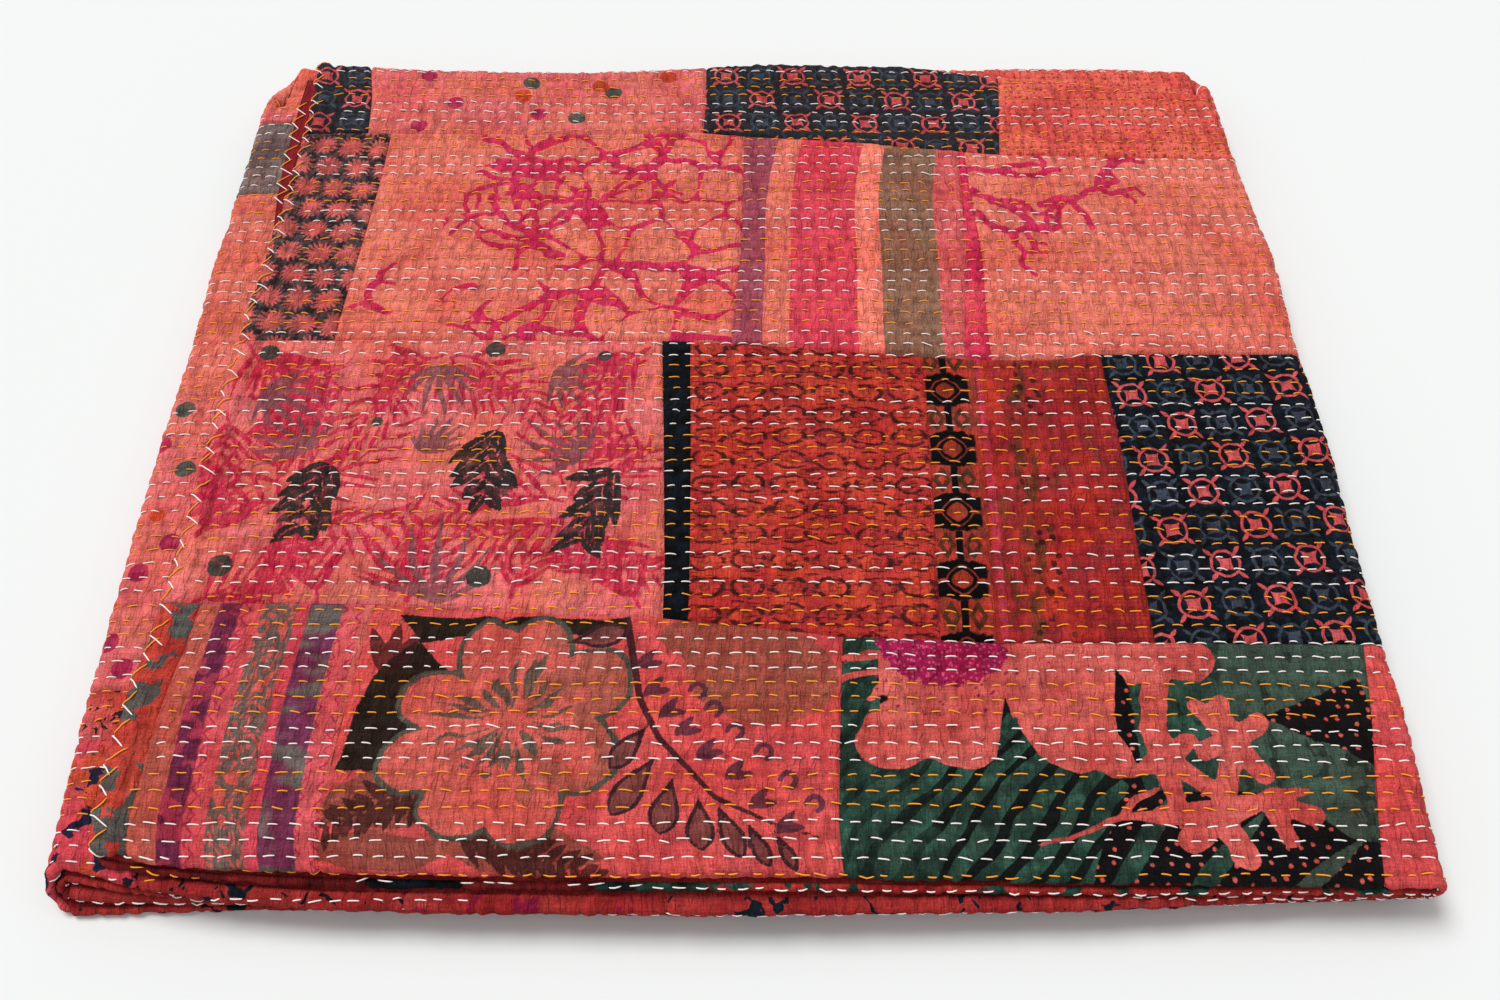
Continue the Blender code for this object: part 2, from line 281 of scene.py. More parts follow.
def makeMesh(name, points, faces, uv=None, marks=None):
    # points (n, 3); faces (m, k) of corner numbers; uv and marks are given for each point
    data = bpy.data.meshes.new(name)
    faceCount, corners = faces.shape
    data.vertices.add(len(points))
    data.vertices.foreach_set("co", points.astype(np.float32).ravel())
    data.loops.add(faceCount * corners)
    data.loops.foreach_set("vertex_index", faces.astype(np.int32).ravel())
    data.polygons.add(faceCount)
    data.polygons.foreach_set("loop_start", np.arange(0, faceCount * corners, corners, dtype=np.int32))
    if uv is not None:
        layer = data.uv_layers.new(name="cloth")
        layer.data.foreach_set("uv", uv[faces.ravel()].astype(np.float32).ravel())
    for label, values in (marks or {}).items():
        data.attributes.new(label, "FLOAT", "POINT").data.foreach_set(
            "value", values.astype(np.float32).ravel())
    data.update(calc_edges=True)
    data.validate()
    data.shade_smooth()
    made = bpy.data.objects.new(name, data)
    bpy.context.scene.collection.objects.link(made)
    return made


def gridFaces(rows, columns, flip=False):
    corner = np.arange(rows * columns).reshape(rows, columns)
    quads = [corner[:-1, :-1], corner[:-1, 1:], corner[1:, 1:], corner[1:, :-1]]
    if flip:
        quads = quads[::-1]
    return np.stack(quads, axis=-1).reshape(-1, 4)


# Shader helpers. They add nodes to the tree in canvas. A Shade is the output of a node, which can
# be reckoned with like a number. A colour is given as it looks, such as "d86f60".

canvas = {"tree": None}


class Shade:
    def __init__(self, socket):
        self.socket = socket

    def __add__(self, other):
        return calc("ADD", self, other)

    def __sub__(self, other):
        return calc("SUBTRACT", self, other)

    def __rsub__(self, other):
        return calc("SUBTRACT", other, self)

    def __mul__(self, other):
        return calc("MULTIPLY", self, other)

    def __truediv__(self, other):
        return calc("DIVIDE", self, other)

    def __mod__(self, other):
        return calc("MODULO", self, other)

    def __pow__(self, other):
        return calc("POWER", self, other)

    def __abs__(self):
        return calc("ABSOLUTE", self)


def tint(code, alpha=1.0):  # a colour's code made linear
    parts = [int(code[i:i + 2], 16) / 255 for i in (0, 2, 4)]
    return tuple(v / 12.92 if v < 0.04045 else ((v + 0.055) / 1.055) ** 2.4 for v in parts) + (alpha,)


def feed(socket, value):
    if isinstance(value, Shade):
        canvas["tree"].links.new(value.socket, socket)
    else:
        socket.default_value = tint(value) if isinstance(value, str) else value


def addNode(kind, values, **settings):
    made = canvas["tree"].nodes.new("ShaderNode" + kind)
    for name, value in settings.items():
        setattr(made, name, value)
    for name, value in values.items():
        feed(made.inputs[name], value)
    return made


def shadeOf(kind, values, which=0, **settings):  # adds a node and gives one of its outputs
    return Shade(addNode(kind, values, **settings).outputs[which])


def calc(operation, *values):
    return shadeOf("Math", dict(enumerate(values)), operation=operation)


sine, fract, root, wholePart = (partial(calc, name) for name in ("SINE", "FRACT", "SQRT", "FLOOR"))
least, most, arctan = (partial(calc, name) for name in ("MINIMUM", "MAXIMUM", "ARCTAN2"))


def distance(x, y):
    return root(x * x + y * y)


def inCell(value, size):  # the place inside cells of this size, counted from their middle
    return (fract(value / size) - 0.5) * size


def blend(share, first, second, how="MIX"):
    return shadeOf("Mix", {0: share, 6: first, 7: second}, 2, data_type="RGBA", blend_type=how)


def fall(value, start, end):  # 1 up to start, 0 from end on
    values = {"Value": value, "From Min": start, "From Max": end, "To Min": 1.0, "To Max": 0.0}
    return shadeOf("MapRange", values, interpolation_type="SMOOTHSTEP")


def closeTo(value, middle, start, end):  # 1 near middle, 0 further away
    return fall(abs(value - middle), start, end)


def moved(vector, scale=(1, 1, 1), turn=0.0, shift=(0, 0)):
    return shadeOf("Mapping", {
        "Vector": vector, "Scale": scale, "Rotation": (0, 0, turn), "Location": (*shift, 0)})


def noise(vector, scale, detail=2.0, rough=0.5, warp=0.0):
    values = {"Vector": vector, "Scale": scale, "Detail": detail, "Roughness": rough, "Distortion": warp}
    return shadeOf("TexNoise", values, "Fac")


def stretched(vector, scale, detail=2.0, rough=0.5, warp=0.0, turn=0.0, shift=(0, 0)):
    # noise with its own scale along and across the cloth
    return noise(moved(vector, (*scale, 1), turn, shift), 1.0, detail, rough, warp)


def shaken(place, amount, size=0.12):  # a place moved a little by noise, for a print's uneven edges
    jitter = shadeOf("TexNoise", {"Vector": place, "Scale": size, "Detail": 2.0}, "Color")
    centred = shadeOf("VectorMath", {0: jitter, 1: (0.5, 0.5, 0.5)}, operation="SUBTRACT")
    moving = shadeOf("VectorMath", {0: centred, "Scale": amount}, operation="SCALE")
    return shadeOf("VectorMath", {0: place, 1: moving}, operation="ADD")


def split(vector):
    made = addNode("SeparateXYZ", {"Vector": vector})
    return Shade(made.outputs[0]), Shade(made.outputs[1])


def bands(value, stops, mode="CONSTANT"):
    made = addNode("ValToRGB", {"Fac": value})
    made.color_ramp.interpolation = mode
    elements = made.color_ramp.elements
    while len(elements) < len(stops):
        elements.new(0.5)
    for element, (position, colour) in zip(elements, stops):
        element.position = position
        element.color = tint(colour)
    return Shade(made.outputs[0])


def mark(name):  # a value that the mesh carries
    return shadeOf("Attribute", {}, "Fac", attribute_name=name)


def inkEdge(name, rough, ragged, start=-0.3, end=0.4):
    # 1 inside a motif, whose distance is kept on the mesh, with an edge made uneven in mm
    return fall(rough * ragged + mark(name), start, end)


def inked(colour, *inks):  # inks are (mask, colour), each over the one before it
    for mask, ink in inks:
        colour = blend(mask, colour, ink)
    return colour


def shaderGroup(name, entries, exits, build):
    # entries are (name, kind, value at first); build turns them into the values of the exits
    group = canvas["tree"] = bpy.data.node_groups.new(name, "ShaderNodeTree")
    for label, kind, value in entries:
        socket = group.interface.new_socket(name=label, in_out="INPUT", socket_type="NodeSocket" + kind)
        if value is not None:
            socket.default_value = value
    for label, kind in exits:
        group.interface.new_socket(name=label, in_out="OUTPUT", socket_type="NodeSocket" + kind)
    entry = group.nodes.new("NodeGroupInput")
    leave = group.nodes.new("NodeGroupOutput")
    for label, value in build(*(Shade(entry.outputs[row[0]]) for row in entries)).items():
        feed(leave.inputs[label], value)
    return group


def useGroup(group, values):
    made = addNode("Group", values, node_tree=group)
    return {socket.name: Shade(socket) for socket in made.outputs}


weave = {
    "warp": 0.62, "weft": 0.68,  # mm from thread to thread
    "foldHeight": -0.32, "smallHeight": 0.45, "slubHeight": 0.10, "threadHeight": 0.03,
    # the last two set painted shade in the creases and along the folds
    "slubTone": 0.95, "creaseShade": 0.40, "foldShade": 0.09,
}


def buildWeave(place):  # threads, slubs and small creases, with painted shade in the crease hollows and along the folds; the place comes in millimetres
    x, y = split(place)
    threads = sine(x * (2 * math.pi / weave["warp"])) * sine(y * (2 * math.pi / weave["weft"]))
    slubs = stretched(place, (0.10, 0.9), 2.0, 0.6) + stretched(place, (0.85, 0.08), 2.0, 0.6, shift=(31, 7))
    creases = stretched(place, (0.30, 0.11), 4.0, 0.62, 0.6, shift=(5, 90))
    small = stretched(place, (0.16, 0.5), 3.0, 0.55, 0.4, shift=(50, 3))
    folds = closeTo(stretched(place, (0.17, 0.052), 2.0, 0.55, 0.5, shift=(8, 3)), 0.5, 0.0, 0.08)
    height = folds * weave["foldHeight"] + creases + small * weave["smallHeight"]
    height = height + slubs * weave["slubHeight"] + threads * weave["threadHeight"]
    tone = (slubs - 1.0) * weave["slubTone"] + 1.0
    # painted shade: darker in the hollows of the creases and along the folds, lighter on the creases' tops
    tone = tone + (creases - 0.5) * weave["creaseShade"] + (0.35 - folds) * weave["foldShade"]
    return {"Height": height, "Tone": tone}


weaveGroup = shaderGroup(
    "cottonWeave", [("Place", "Vector", None)], [("Height", "Float"), ("Tone", "Float")], buildWeave)
# crest and row paint light and shade: paler ridges as painted highlight, darker rows as painted shade
wearAndShade = {
    "deeper": "e0686c", "browner": "dcc6b6", "deepShare": 0.6, "brownShare": 0.35, "brownAll": 0.32,
    "crest": 0.40, "row": 0.73, "blotch": 0.36, "blotchBase": 0.86, "thread": 1.50, "threadBase": 0.28,
}


def buildWearAndShade(place, colour, tone, crest, fade):
    # uneven dye in mixed threads, with painted highlight that makes the ridges paler and painted shade that
    # makes the rows darker
    cloudy = noise(place, 0.021, 4.0, 0.62, 0.5)
    blotchy = stretched(place, (0.15, 0.11), 4.0, 0.68, 0.4, shift=(9, 2))
    threads = stretched(place, (0.9, 1.2), 2.0, 0.7, shift=(2, 60))
    deeper = blend(1.0, colour, wearAndShade["deeper"], "MULTIPLY")
    browner = blend(1.0, colour, wearAndShade["browner"], "MULTIPLY")
    colour = blend(fall(cloudy, 0.36, 0.60) * fade * wearAndShade["deepShare"], colour, deeper)
    brown = fall(blotchy, 0.38, 0.66) * wearAndShade["brownShare"] + wearAndShade["brownAll"]
    colour = blend(brown * fade, colour, browner)
    # painted shade deep in the rows and painted highlight on the ridges
    value = tone * (crest * wearAndShade["crest"] + wearAndShade["row"])
    value = value * (blotchy * wearAndShade["blotch"] + wearAndShade["blotchBase"])
    value = value * (threads * wearAndShade["thread"] + wearAndShade["threadBase"])
    return {"Colour": shadeOf("HueSaturation", {"Color": colour, "Saturation": 1.0, "Value": value})}


wearShadeGroup = shaderGroup("wornDyeAndShade", [
    ("Place", "Vector", None), ("Colour", "Color", (1, 1, 1, 1)), ("Tone", "Float", 1.0),
    ("Crest", "Float", 0.5), ("Fade", "Float", 0.6)], [("Colour", "Color")], buildWearAndShade)
rings = {
    "radius": 9.4, "line": (0.75, 1.15), "starPower": 0.66, "starEdge": (3.8, 4.2),
    "earMiddle": 13.0, "earHalf": 4.2, "earWidth": 1.4,
}


def buildRings(place, size):  # rings with a four-pointed star and four ears, on a square lattice
    x, y = split(place)
    s, t = abs(inCell(x, size)), abs(inCell(y, size))
    ring = closeTo(distance(s, t), rings["radius"], *rings["line"])
    star = fall(s ** rings["starPower"] + t ** rings["starPower"], *rings["starEdge"])
    bulge = (most(s, t) - rings["earMiddle"]) / rings["earHalf"]
    ear = fall(least(s, t) - (1.0 - bulge * bulge) * rings["earWidth"], -0.25, 0.25)
    return {"Mask": most(most(ring, star), ear)}


ringGroup = shaderGroup(
    "ringLattice", [("Place", "Vector", None), ("Spacing", "Float", 38.5)], [("Mask", "Float")], buildRings)


def buildDots(place, density, radius, scatter):  # scattered round spots with uneven edges
    away = shadeOf("TexVoronoi", {
        "Vector": place, "Scale": density, "Randomness": scatter}, "Distance", voronoi_dimensions="2D")
    ragged = noise(place, 0.5) * 1.6 + (away / density - 0.8)
    return {"Mask": fall(ragged - radius, -0.4, 0.4)}


dotGroup = shaderGroup("scatteredDots", [
    ("Place", "Vector", None), ("Density", "Float", 0.03), ("Radius", "Float", 5.0),
    ("Scatter", "Float", 0.7)], [("Mask", "Float")], buildDots)


def dots(place, density, radius, scatter=0.6):
    values = {"Place": place, "Density": density, "Radius": radius, "Scatter": scatter}
    return useGroup(dotGroup, values)["Mask"]


def newMaterial(name):  # the helpers work in this material's tree from here on
    material = bpy.data.materials.new(name)
    material.use_nodes = True
    canvas["tree"] = material.node_tree
    return material


def setShader(material, colour, height, values, strength, depth):
    shader = material.node_tree.nodes["Principled BSDF"]
    bumps = shadeOf("Bump", {"Strength": strength, "Distance": depth, "Height": height})
    for name, value in {"Base Color": colour, "Normal": bumps, **values}.items():
        feed(shader.inputs[name], value)


cottonFinish = {
    "rough": 0.96, "roughTone": -0.12, "gloss": 0.06, "sheen": 0.012, "sheenRough": 0.5,
    "depth": 0.0021, "fade": 0.7,
}


def clothMaterial(name, paint):
    # paint(place) gives the print's colour, with the place on the cloth in millimetres
    material = newMaterial(name)
    place = moved(shadeOf("UVMap", {}, uv_map="cloth"), (1000, 1000, 1))
    threads = useGroup(weaveGroup, {"Place": place})
    wornAndShaded = useGroup(wearShadeGroup, {
        "Place": place, "Colour": paint(place), "Tone": threads["Tone"], "Crest": mark("crest"),
        "Fade": cottonFinish["fade"]})
    setShader(material, wornAndShaded["Colour"], threads["Height"], {
        "Roughness": threads["Tone"] * cottonFinish["roughTone"] + cottonFinish["rough"],
        "Specular IOR Level": cottonFinish["gloss"], "Sheen Weight": cottonFinish["sheen"],
        "Sheen Roughness": cottonFinish["sheenRough"]}, 1.0, cottonFinish["depth"])
    return material


# Drawn motifs. Distances to drawn shapes, in millimetres and below 0 inside, are kept on the mesh. The
# shader cuts them at 0, so that a print has a crisp edge between the mesh's points.

def strokes(b, c, lines):  # lines are (b0, c0, b1, c1, half width at each end)
    best = np.full(b.shape, 99.0)
    for b0, c0, b1, c1, wide0, wide1 in lines:
        runB, runC = b1 - b0, c1 - c0
        length = runB * runB + runC * runC + 1e-9
        t = np.clip(((b - b0) * runB + (c - c0) * runC) / length, 0, 1)
        away = np.hypot(b - b0 - t * runB, c - c0 - t * runC) - wide0 - (wide1 - wide0) * t
        best = np.minimum(best, away)
    return best


def turned(b, c, middleB, middleC, angle):  # the place along and across a turned shape
    along = (b - middleB) * math.cos(angle) + (c - middleC) * math.sin(angle)
    across = (c - middleC) * math.cos(angle) - (b - middleB) * math.sin(angle)
    return along, across


def blobs(b, c, rounds, soft=4.0):  # soft union of ellipses: (b, c, half length, half width, angle)
    total = np.full(b.shape, -99.0)
    for middleB, middleC, longHalf, shortHalf, angle in rounds:
        along, across = turned(b, c, middleB, middleC, angle)
        away = (np.hypot(along / longHalf, across / shortHalf) - 1) * min(longHalf, shortHalf)
        total = np.logaddexp(total, -away / soft)
    return -total * soft


def cornered(b, c, corners):  # below 0 inside a shape with straight sides
    away, inside = np.full(b.shape, 99.0), np.zeros(b.shape, bool)
    for (b0, c0), (b1, c1) in zip(corners, corners[1:] + corners[:1]):
        away = np.minimum(away, strokes(b, c, [(b0, c0, b1, c1, 0.0, 0.0)]))
        inside ^= ((c0 > c) != (c1 > c)) & (b < b0 + (b1 - b0) * (c - c0) / (c1 - c0 + 1e-9))
    return np.where(inside, -away, away)


def swayed(b, c, amount, size, seed):  # the same place, moved softly, so that shapes aren't ruled
    moveB, moveC = (amount * softNoise(b / size, c / size, number) for number in (seed, seed + 1))
    return b + moveB, c + moveC


def fingers(b, c, ends, wide, tip):  # strokes from one place to round tips
    return [(b, c, endB, endC, wide, tip) for endB, endC in ends]


def curl(b, c, radius, start, sweep, wide):  # an arc of short strokes
    turns = np.linspace(start, start + sweep, 7)
    places = [(b + radius * math.cos(turn), c + radius * math.sin(turn)) for turn in turns]
    return [(*first, *second, wide, wide) for first, second in zip(places, places[1:])]


def drops(b, c, shapes, blunt=0.75):  # leaves and petals: (b, c of the root, angle, length, width)
    best = np.full(b.shape, 99.0)
    for rootB, rootC, angle, length, width in shapes:
        along, across = turned(b, c, rootB, rootC, angle)
        across = np.abs(across)
        t = np.clip(along / length, 0, 1)
        half = width / 2 * np.sin(math.pi * t ** blunt) ** 0.8
        beyond = np.maximum(-along, 0) + np.maximum(along - length, 0)
        best = np.minimum(best, np.where(beyond > 0, np.hypot(beyond, across), across - half))
    return best


def growBranch(random, lines, b, c, angle, wide, steps):
    # a wandering branch that forks; every step is one short stroke
    for step in range(steps):
        angle += random.uniform(-0.55, 0.55)
        length = random.uniform(8, 14)
        nextB, nextC = b + length * math.cos(angle), c + length * math.sin(angle)
        nextWide = max(wide * 0.955, 1.1)
        lines.append((b, c, nextB, nextC, wide, nextWide))
        b, c, wide = nextB, nextC, nextWide
        if step > 0 and steps > 2 and random.random() < 0.5:
            turn = random.choice((-1, 1)) * random.uniform(0.7, 1.3)
            growBranch(random, lines, b, c, angle + turn, wide * 0.8, int(steps * 0.5))


def frondShapes(b, c, angle, length, leaves, leafLength, leafWidth, bend=0.5, spread=0.85):
    # a bent stem with uneven leaves on both sides, shorter towards its tip
    lines, shapes = [], []
    random = np.random.default_rng(int(abs(b * 7 + c * 3 + length)))
    step = length / leaves
    for index in range(leaves):
        share = index / leaves
        nextB, nextC = b + step * math.cos(angle), c + step * math.sin(angle)
        lines.append((b, c, nextB, nextC, 0.9 * (1 - share) + 0.35, 0.9 * (1 - share) + 0.3))
        for turn in (-1, 1):
            size = leafLength * (1 - 0.55 * share) * random.uniform(0.75, 1.15)
            lean = angle + turn * (spread + random.uniform(-0.12, 0.12))
            shapes.append((nextB, nextC, lean, size, leafWidth * (1 - 0.3 * share)))
        b, c = nextB, nextC
        angle += bend / leaves
    return lines, shapes


print("helpers ready")

# Prints. Each painter gives the colour of one printed cotton, from the place on the cloth.

dye = {
    "coral": "e0766a", "pink": "e07074", "salmon": "e67e6e", "rose": "dc4a5e", "magenta": "cc2c5a",
    "crimson": "c02a4a", "red": "bc3e38", "rust": "aa3a38", "plum": "9c5266", "olive": "84705a",
    "greyGreen": "3a4440", "green": "284840", "navy": "111a25", "black": "0a0a0c", "charcoal": "262628",
    "greyBrown": "8c7a76", "greyMauve": "6a5e60", "flame": "c44c3e", "darkLeaf": "1c2a2a",
    # the wine red is the lining's dark red made darker still as painted shade, for the gap under the layer
    # above
    "dustyRose": "c84e52", "warmRose": "da5a58", "brightCoral": "ea7462", "wine": "3c1216",
    "wineRose": "8c1a40", "deepRed": "96282a", "tuft": "7c5058", "magentaSpot": "b02c58",
    "greenSpot": "4c564e", "orangeSpot": "cc4e30",
}


def plain(ground, second, size=0.02):  # two like dyes in soft clouds
    def paint(place):
        return blend(fall(noise(place, size, 3.0, 0.6), 0.66, 0.36), dye[ground], dye[second])
    return paint


def ringPrint(turn, shift, spacing=39.4, haze=0.0):
    # coral rings on navy, with fainter blue ones between; haze greys the ground
    def paint(place):
        ground = plain("navy", "black", 0.09)(place)
        ground = blend(fall(noise(place, 0.16, 3.0), 0.36, 0.5), ground, "182430")
        ground = blend(haze, ground, "605a60")
        lattice = moved(shaken(place, 2.6), turn=turn, shift=shift)
        half = moved(lattice, shift=(spacing / 2, spacing / 2))
        faint = useGroup(ringGroup, {"Place": half, "Spacing": spacing})["Mask"]
        faint = faint * fall(noise(place, 0.2), 0.50, 0.75)
        strong = useGroup(ringGroup, {"Place": lattice, "Spacing": spacing})["Mask"]
        return blend(strong, blend(faint * 0.75, ground, "435060"), "c8565a")
    return paint


def spotInk(rows):  # round spots; rows are (name of the mark, radius, (b, c), (b, c) ...)
    def draw(b, c):
        return {name: np.min([np.hypot(b - x, c - y) for x, y in places], axis=0) - radius
                for name, radius, *places in rows}
    return draw


def tinyDotPrint(place):
    base = plain("warmRose", "brightCoral")(place)
    return blend(dots(place, 0.15, 1.25) * 0.8, base, "ac322e")


stars = {"cell": 23.0, "turn": 0.12, "rays": 8.0, "rayLength": 5.0, "core": 6.6, "ragged": 14.0}


def starPrint(place):
    # coral stars with ragged points, in staggered rows on charcoal
    cell = stars["cell"]
    x, y = split(shaken(moved(place, turn=stars["turn"]), 9.0, 0.06))
    offset = (wholePart(y / cell) + 1000.0) % 2.0 * (cell / 2)
    s, t = inCell(x + offset, cell), inCell(y, cell)
    rays = abs(sine(arctan(t, s) * stars["rays"]))
    limit = rays * stars["rayLength"] + stars["core"]
    limit = limit + (noise(place, 0.35, 3.0, 0.7) - 0.5) * stars["ragged"]
    mask = fall(distance(s, t) - limit, -2.6, 1.2)
    patchy = fall(noise(place, 0.09), 0.42, 0.62) * 0.35 + 0.6
    ground = blend(fall(noise(place, 0.16, 3.0), 0.4, 0.6), "564a4c", "2c2a30")
    return blend(mask * patchy, ground, "d86a66")


def inkPrint(ground, second, inks, streaks=None):
    # inks are (name of the distance kept on the mesh, colour, strength, raggedness in mm);
    # the ink named by streaks shows its ground between the strokes of a brush
    def paint(place):
        colour = plain(ground, second)(place)
        rough = noise(place, 0.55, 3.0, 0.6) - 0.5
        patchy = fall(noise(place, 0.11, 3.0, 0.6), 0.45, 0.72) * 0.22 + 0.78
        for name, ink, strength, ragged in inks:
            mask = inkEdge(name, rough, ragged * 2, -0.25, 0.35) * strength
            if name == streaks:
                loose = shaken(place, 9.0, 0.03)
                leftward, rightward = (
                    fall(stretched(loose, (0.30, 0.045), 1.0, turn=turn), 0.55, 0.62) for turn in (1.2, -1.0))
                mask = mask * (least(leftward, rightward) * 0.22 + 0.78)
            colour = blend(mask * patchy, colour, dye[ink])
        return colour
    return paint


stripes = {
    "start": 350.0, "width": 190.0, "bendFrom": 130.0, "bend": 0.00105,
    "bands": [
        (0.0, dye["plum"]), (0.125, dye["salmon"]), (0.225, dye["rose"]), (0.485, "fa8c7a"),
        (0.585, dye["olive"]), (0.805, "d8686a"), (0.95, dye["rose"])],
}


def stripePrint(place):
    # woven stripes that bend to the right towards the back
    x, y = split(shaken(place, 1.2, 0.3))
    beyond = most(y - stripes["bendFrom"], 0.0)
    share = (x - beyond * beyond * stripes["bend"] - stripes["start"]) / stripes["width"]
    return blend(noise(place, 0.03, 3.0) * 0.25, bands(share, stripes["bands"]), "c83a4c")


ornament = {"wide": 27.0, "high": 19.5, "oval": (10.5, 6.6), "bud": (4.2, 3.2), "eye": 2.4}


def ornamentPrint(place):
    # rows of ovals in broken brown dashes, with small buds between, on red
    x, y = split(shaken(shaken(place, 3.0), 6.0, 0.03))
    p, q = inCell(x, ornament["wide"]), inCell(y, ornament["high"])
    ovalWide, ovalHigh = ornament["oval"]
    budWide, budHigh = ornament["bud"]
    broken = fall(stretched(place, (0.10, 0.26), 3.0, 0.6), 0.49, 0.56)
    line = closeTo(distance(p / ovalWide, q / ovalHigh), 1.0, 0.10, 0.24) * broken
    bud = fall(distance((ornament["wide"] / 2 - abs(p)) / budWide, q / budHigh), 0.8, 1.1)
    bud = bud * fall(noise(place, 0.1), 0.52, 0.66)
    eye = closeTo(distance(p, q), ornament["eye"], 0.6, 1.3)
    dashes = fall(stretched(place, (0.08, 0.36), shift=(3, 5)), 0.37, 0.41)
    line = most(line, dashes * 0.85)
    ground = blend(fall(noise(place, 0.05, 3.0), 0.4, 0.62), "ca4836", "b63636")
    return inked(ground, (bud * 0.6, "6c2830"), (eye * 0.5, "5c2c1c"), (line * 0.9, "32181a"))


border = {"middle": 501.0, "half": 17.0, "start": -32.2, "repeat": 51.0, "power": 1.4}


def borderPrint(place):
    # a woven border: black blocks with a red lozenge, joined by a black spine between brown buds
    x, y = split(shaken(place, 1.8))
    s = abs((x - border["middle"]) / border["half"])
    t = abs(fract((y - border["start"]) / border["repeat"]) - 0.5) * 2.0
    lozenge = (s * 0.95) ** border["power"] + (t * 1.35) ** border["power"]
    block = fall(noise(place, 0.28) * 0.22 + (s * 0.18 + t), 0.70, 0.76) * fall(s, 0.90, 1.0)
    line = closeTo(lozenge, 0.46, 0.02, 0.06) * 0.65
    arms = fall(t, 0.025, 0.06) * fall(1.0 - s, 0.36, 0.42)
    heart = fall(lozenge, 0.22, 0.30)
    black = block * (1.0 - most(most(line, arms), heart))
    spine = fall(s, 0.11, 0.17) * (1.0 - fall(t, 0.56, 0.6))
    bud = closeTo(abs(s - 0.5) + (1.0 - t) * 0.9, 0.26, 0.08, 0.13)
    ground = blend(fall(noise(place, 0.07, 3.0), 0.4, 0.6), "b43e34", "8c3c30")
    black = most(black, spine)
    return inked(ground, (bud * 0.9, "46301c"), (heart * 0.6, "8c3822"), (black, dye["black"]))


mottled = {
    "clouds": [(0.30, "be3a2a"), (0.45, "ae322c"), (0.56, "9e2a34"), (0.68, "7a3a26")],
    "warp": 3.4, "weft": 3.1, "checkFrom": 535.0, "stripe": 549.0, "spots": 556.0, "edge": 525.0,
}


def mottledPrint(place):
    # rust, red and brown clouds, darker threads in a fine check towards the right
    x, y = split(place)
    colour = bands(stretched(place, (0.055, 0.03), 4.0, 0.6, 0.8), mottled["clouds"], "LINEAR")
    warp, weft = (
        abs(sine(value * (math.pi / mottled[name]))) ** 8.0 for value, name in ((x, "warp"), (y, "weft")))
    where = fall(noise(place, 0.05) * -60.0 + x, mottled["checkFrom"] + 35.0, mottled["checkFrom"])
    stripe = closeTo(x, mottled["stripe"], 7.0, 11.0) * fall(stretched(place, (0.10, 0.05), 3.0), 0.62, 0.4)
    spot = dots(place, 0.12, 2.3, 1.0) * closeTo(x, mottled["spots"], 9.0, 17.0)
    spot = spot * fall(stretched(place, (0.06, 0.035)), 0.44, 0.56)
    edge = closeTo(x, mottled["edge"], 2.2, 2.8)
    return inked(
        colour, (most(warp, weft) * 0.42 * where, "4a1a1c"), (stripe * 0.85, "623a24"),
        (spot * 0.85, "2c1616"), (edge * 0.8, "b8384e"))


def floralStrip(place):
    patches = fall(noise(place, 0.05, 3.0, 0.5, 0.4), 0.46, 0.49)
    return blend(patches, plain("flame", "red")(place), "5c5c5a")


batik = {
    "start": 15.0, "width": 120.0, "zigzag": 5.5, "zigzagRepeat": 12.0,
    "bands": [
        (0.0, "bc5c50"), (0.17, "a83a54"), (0.29, "d2565e"), (0.40, "c85e58"), (0.585, "ca4a5a"),
        (0.645, "6c6260"), (0.82, "d45c62"), (0.93, "da7068")],
}


def batikPrint(place):
    # narrow bands of pink, plum and grey, each with its own loose figure
    x, y = split(shaken(place, 1.8, 0.25))
    share = (x - batik["start"]) / batik["width"]
    segment = fall(stretched(place, (0.02, 0.045)), 0.48, 0.56)
    blots = fall(stretched(place, (0.06, 0.07), shift=(4, 4)), 0.50, 0.56)
    figure = closeTo(stretched(place, (0.075, 0.05), 1.0, 0.5, 2.2), 0.5, 0.075, 0.105)
    offset = x % batik["zigzagRepeat"] - (calc("PINGPONG", y, batik["zigzag"]) + 2.6)
    zigzag = fall(abs(offset), 0.5, 1.2)
    inPinks = most(closeTo(share, 0.875, 0.05, 0.056), closeTo(share, 0.345, 0.05, 0.056))
    return inked(
        bands(share, batik["bands"]), (closeTo(share, 0.23, 0.05, 0.062) * blots, "6e2848"),
        (closeTo(share, 0.7325, 0.082, 0.088) * segment, "763456"),
        (closeTo(share, 0.4925, 0.088, 0.096) * figure * 0.9, "64605a"), (zigzag * inPinks * 0.7, "a3204a"))


def brushPrint(place):
    # pink with navy brush marks and orange patches
    orange = fall(noise(place, 0.03), 0.36, 0.42)
    base = blend(orange * 0.8, plain("dustyRose", "rose")(place), "cc5230")
    dabs = fall(stretched(place, (0.05, 0.075), 3.0, 0.55, 0.5, turn=0.3, shift=(3, 8)), 0.41, 0.44)
    return blend(dabs, base, "23233c")


def bandPrint(ground, second, ink, share, size=0.06):
    # cloth with loose dark figures, as on the lower layers' edges
    def paint(place):
        figure = noise(shaken(place, 4.0), size, 2.0, 0.5, 1.4)
        return blend(fall(figure, share - 0.02, share), plain(ground, second)(place), dye[ink])
    return paint


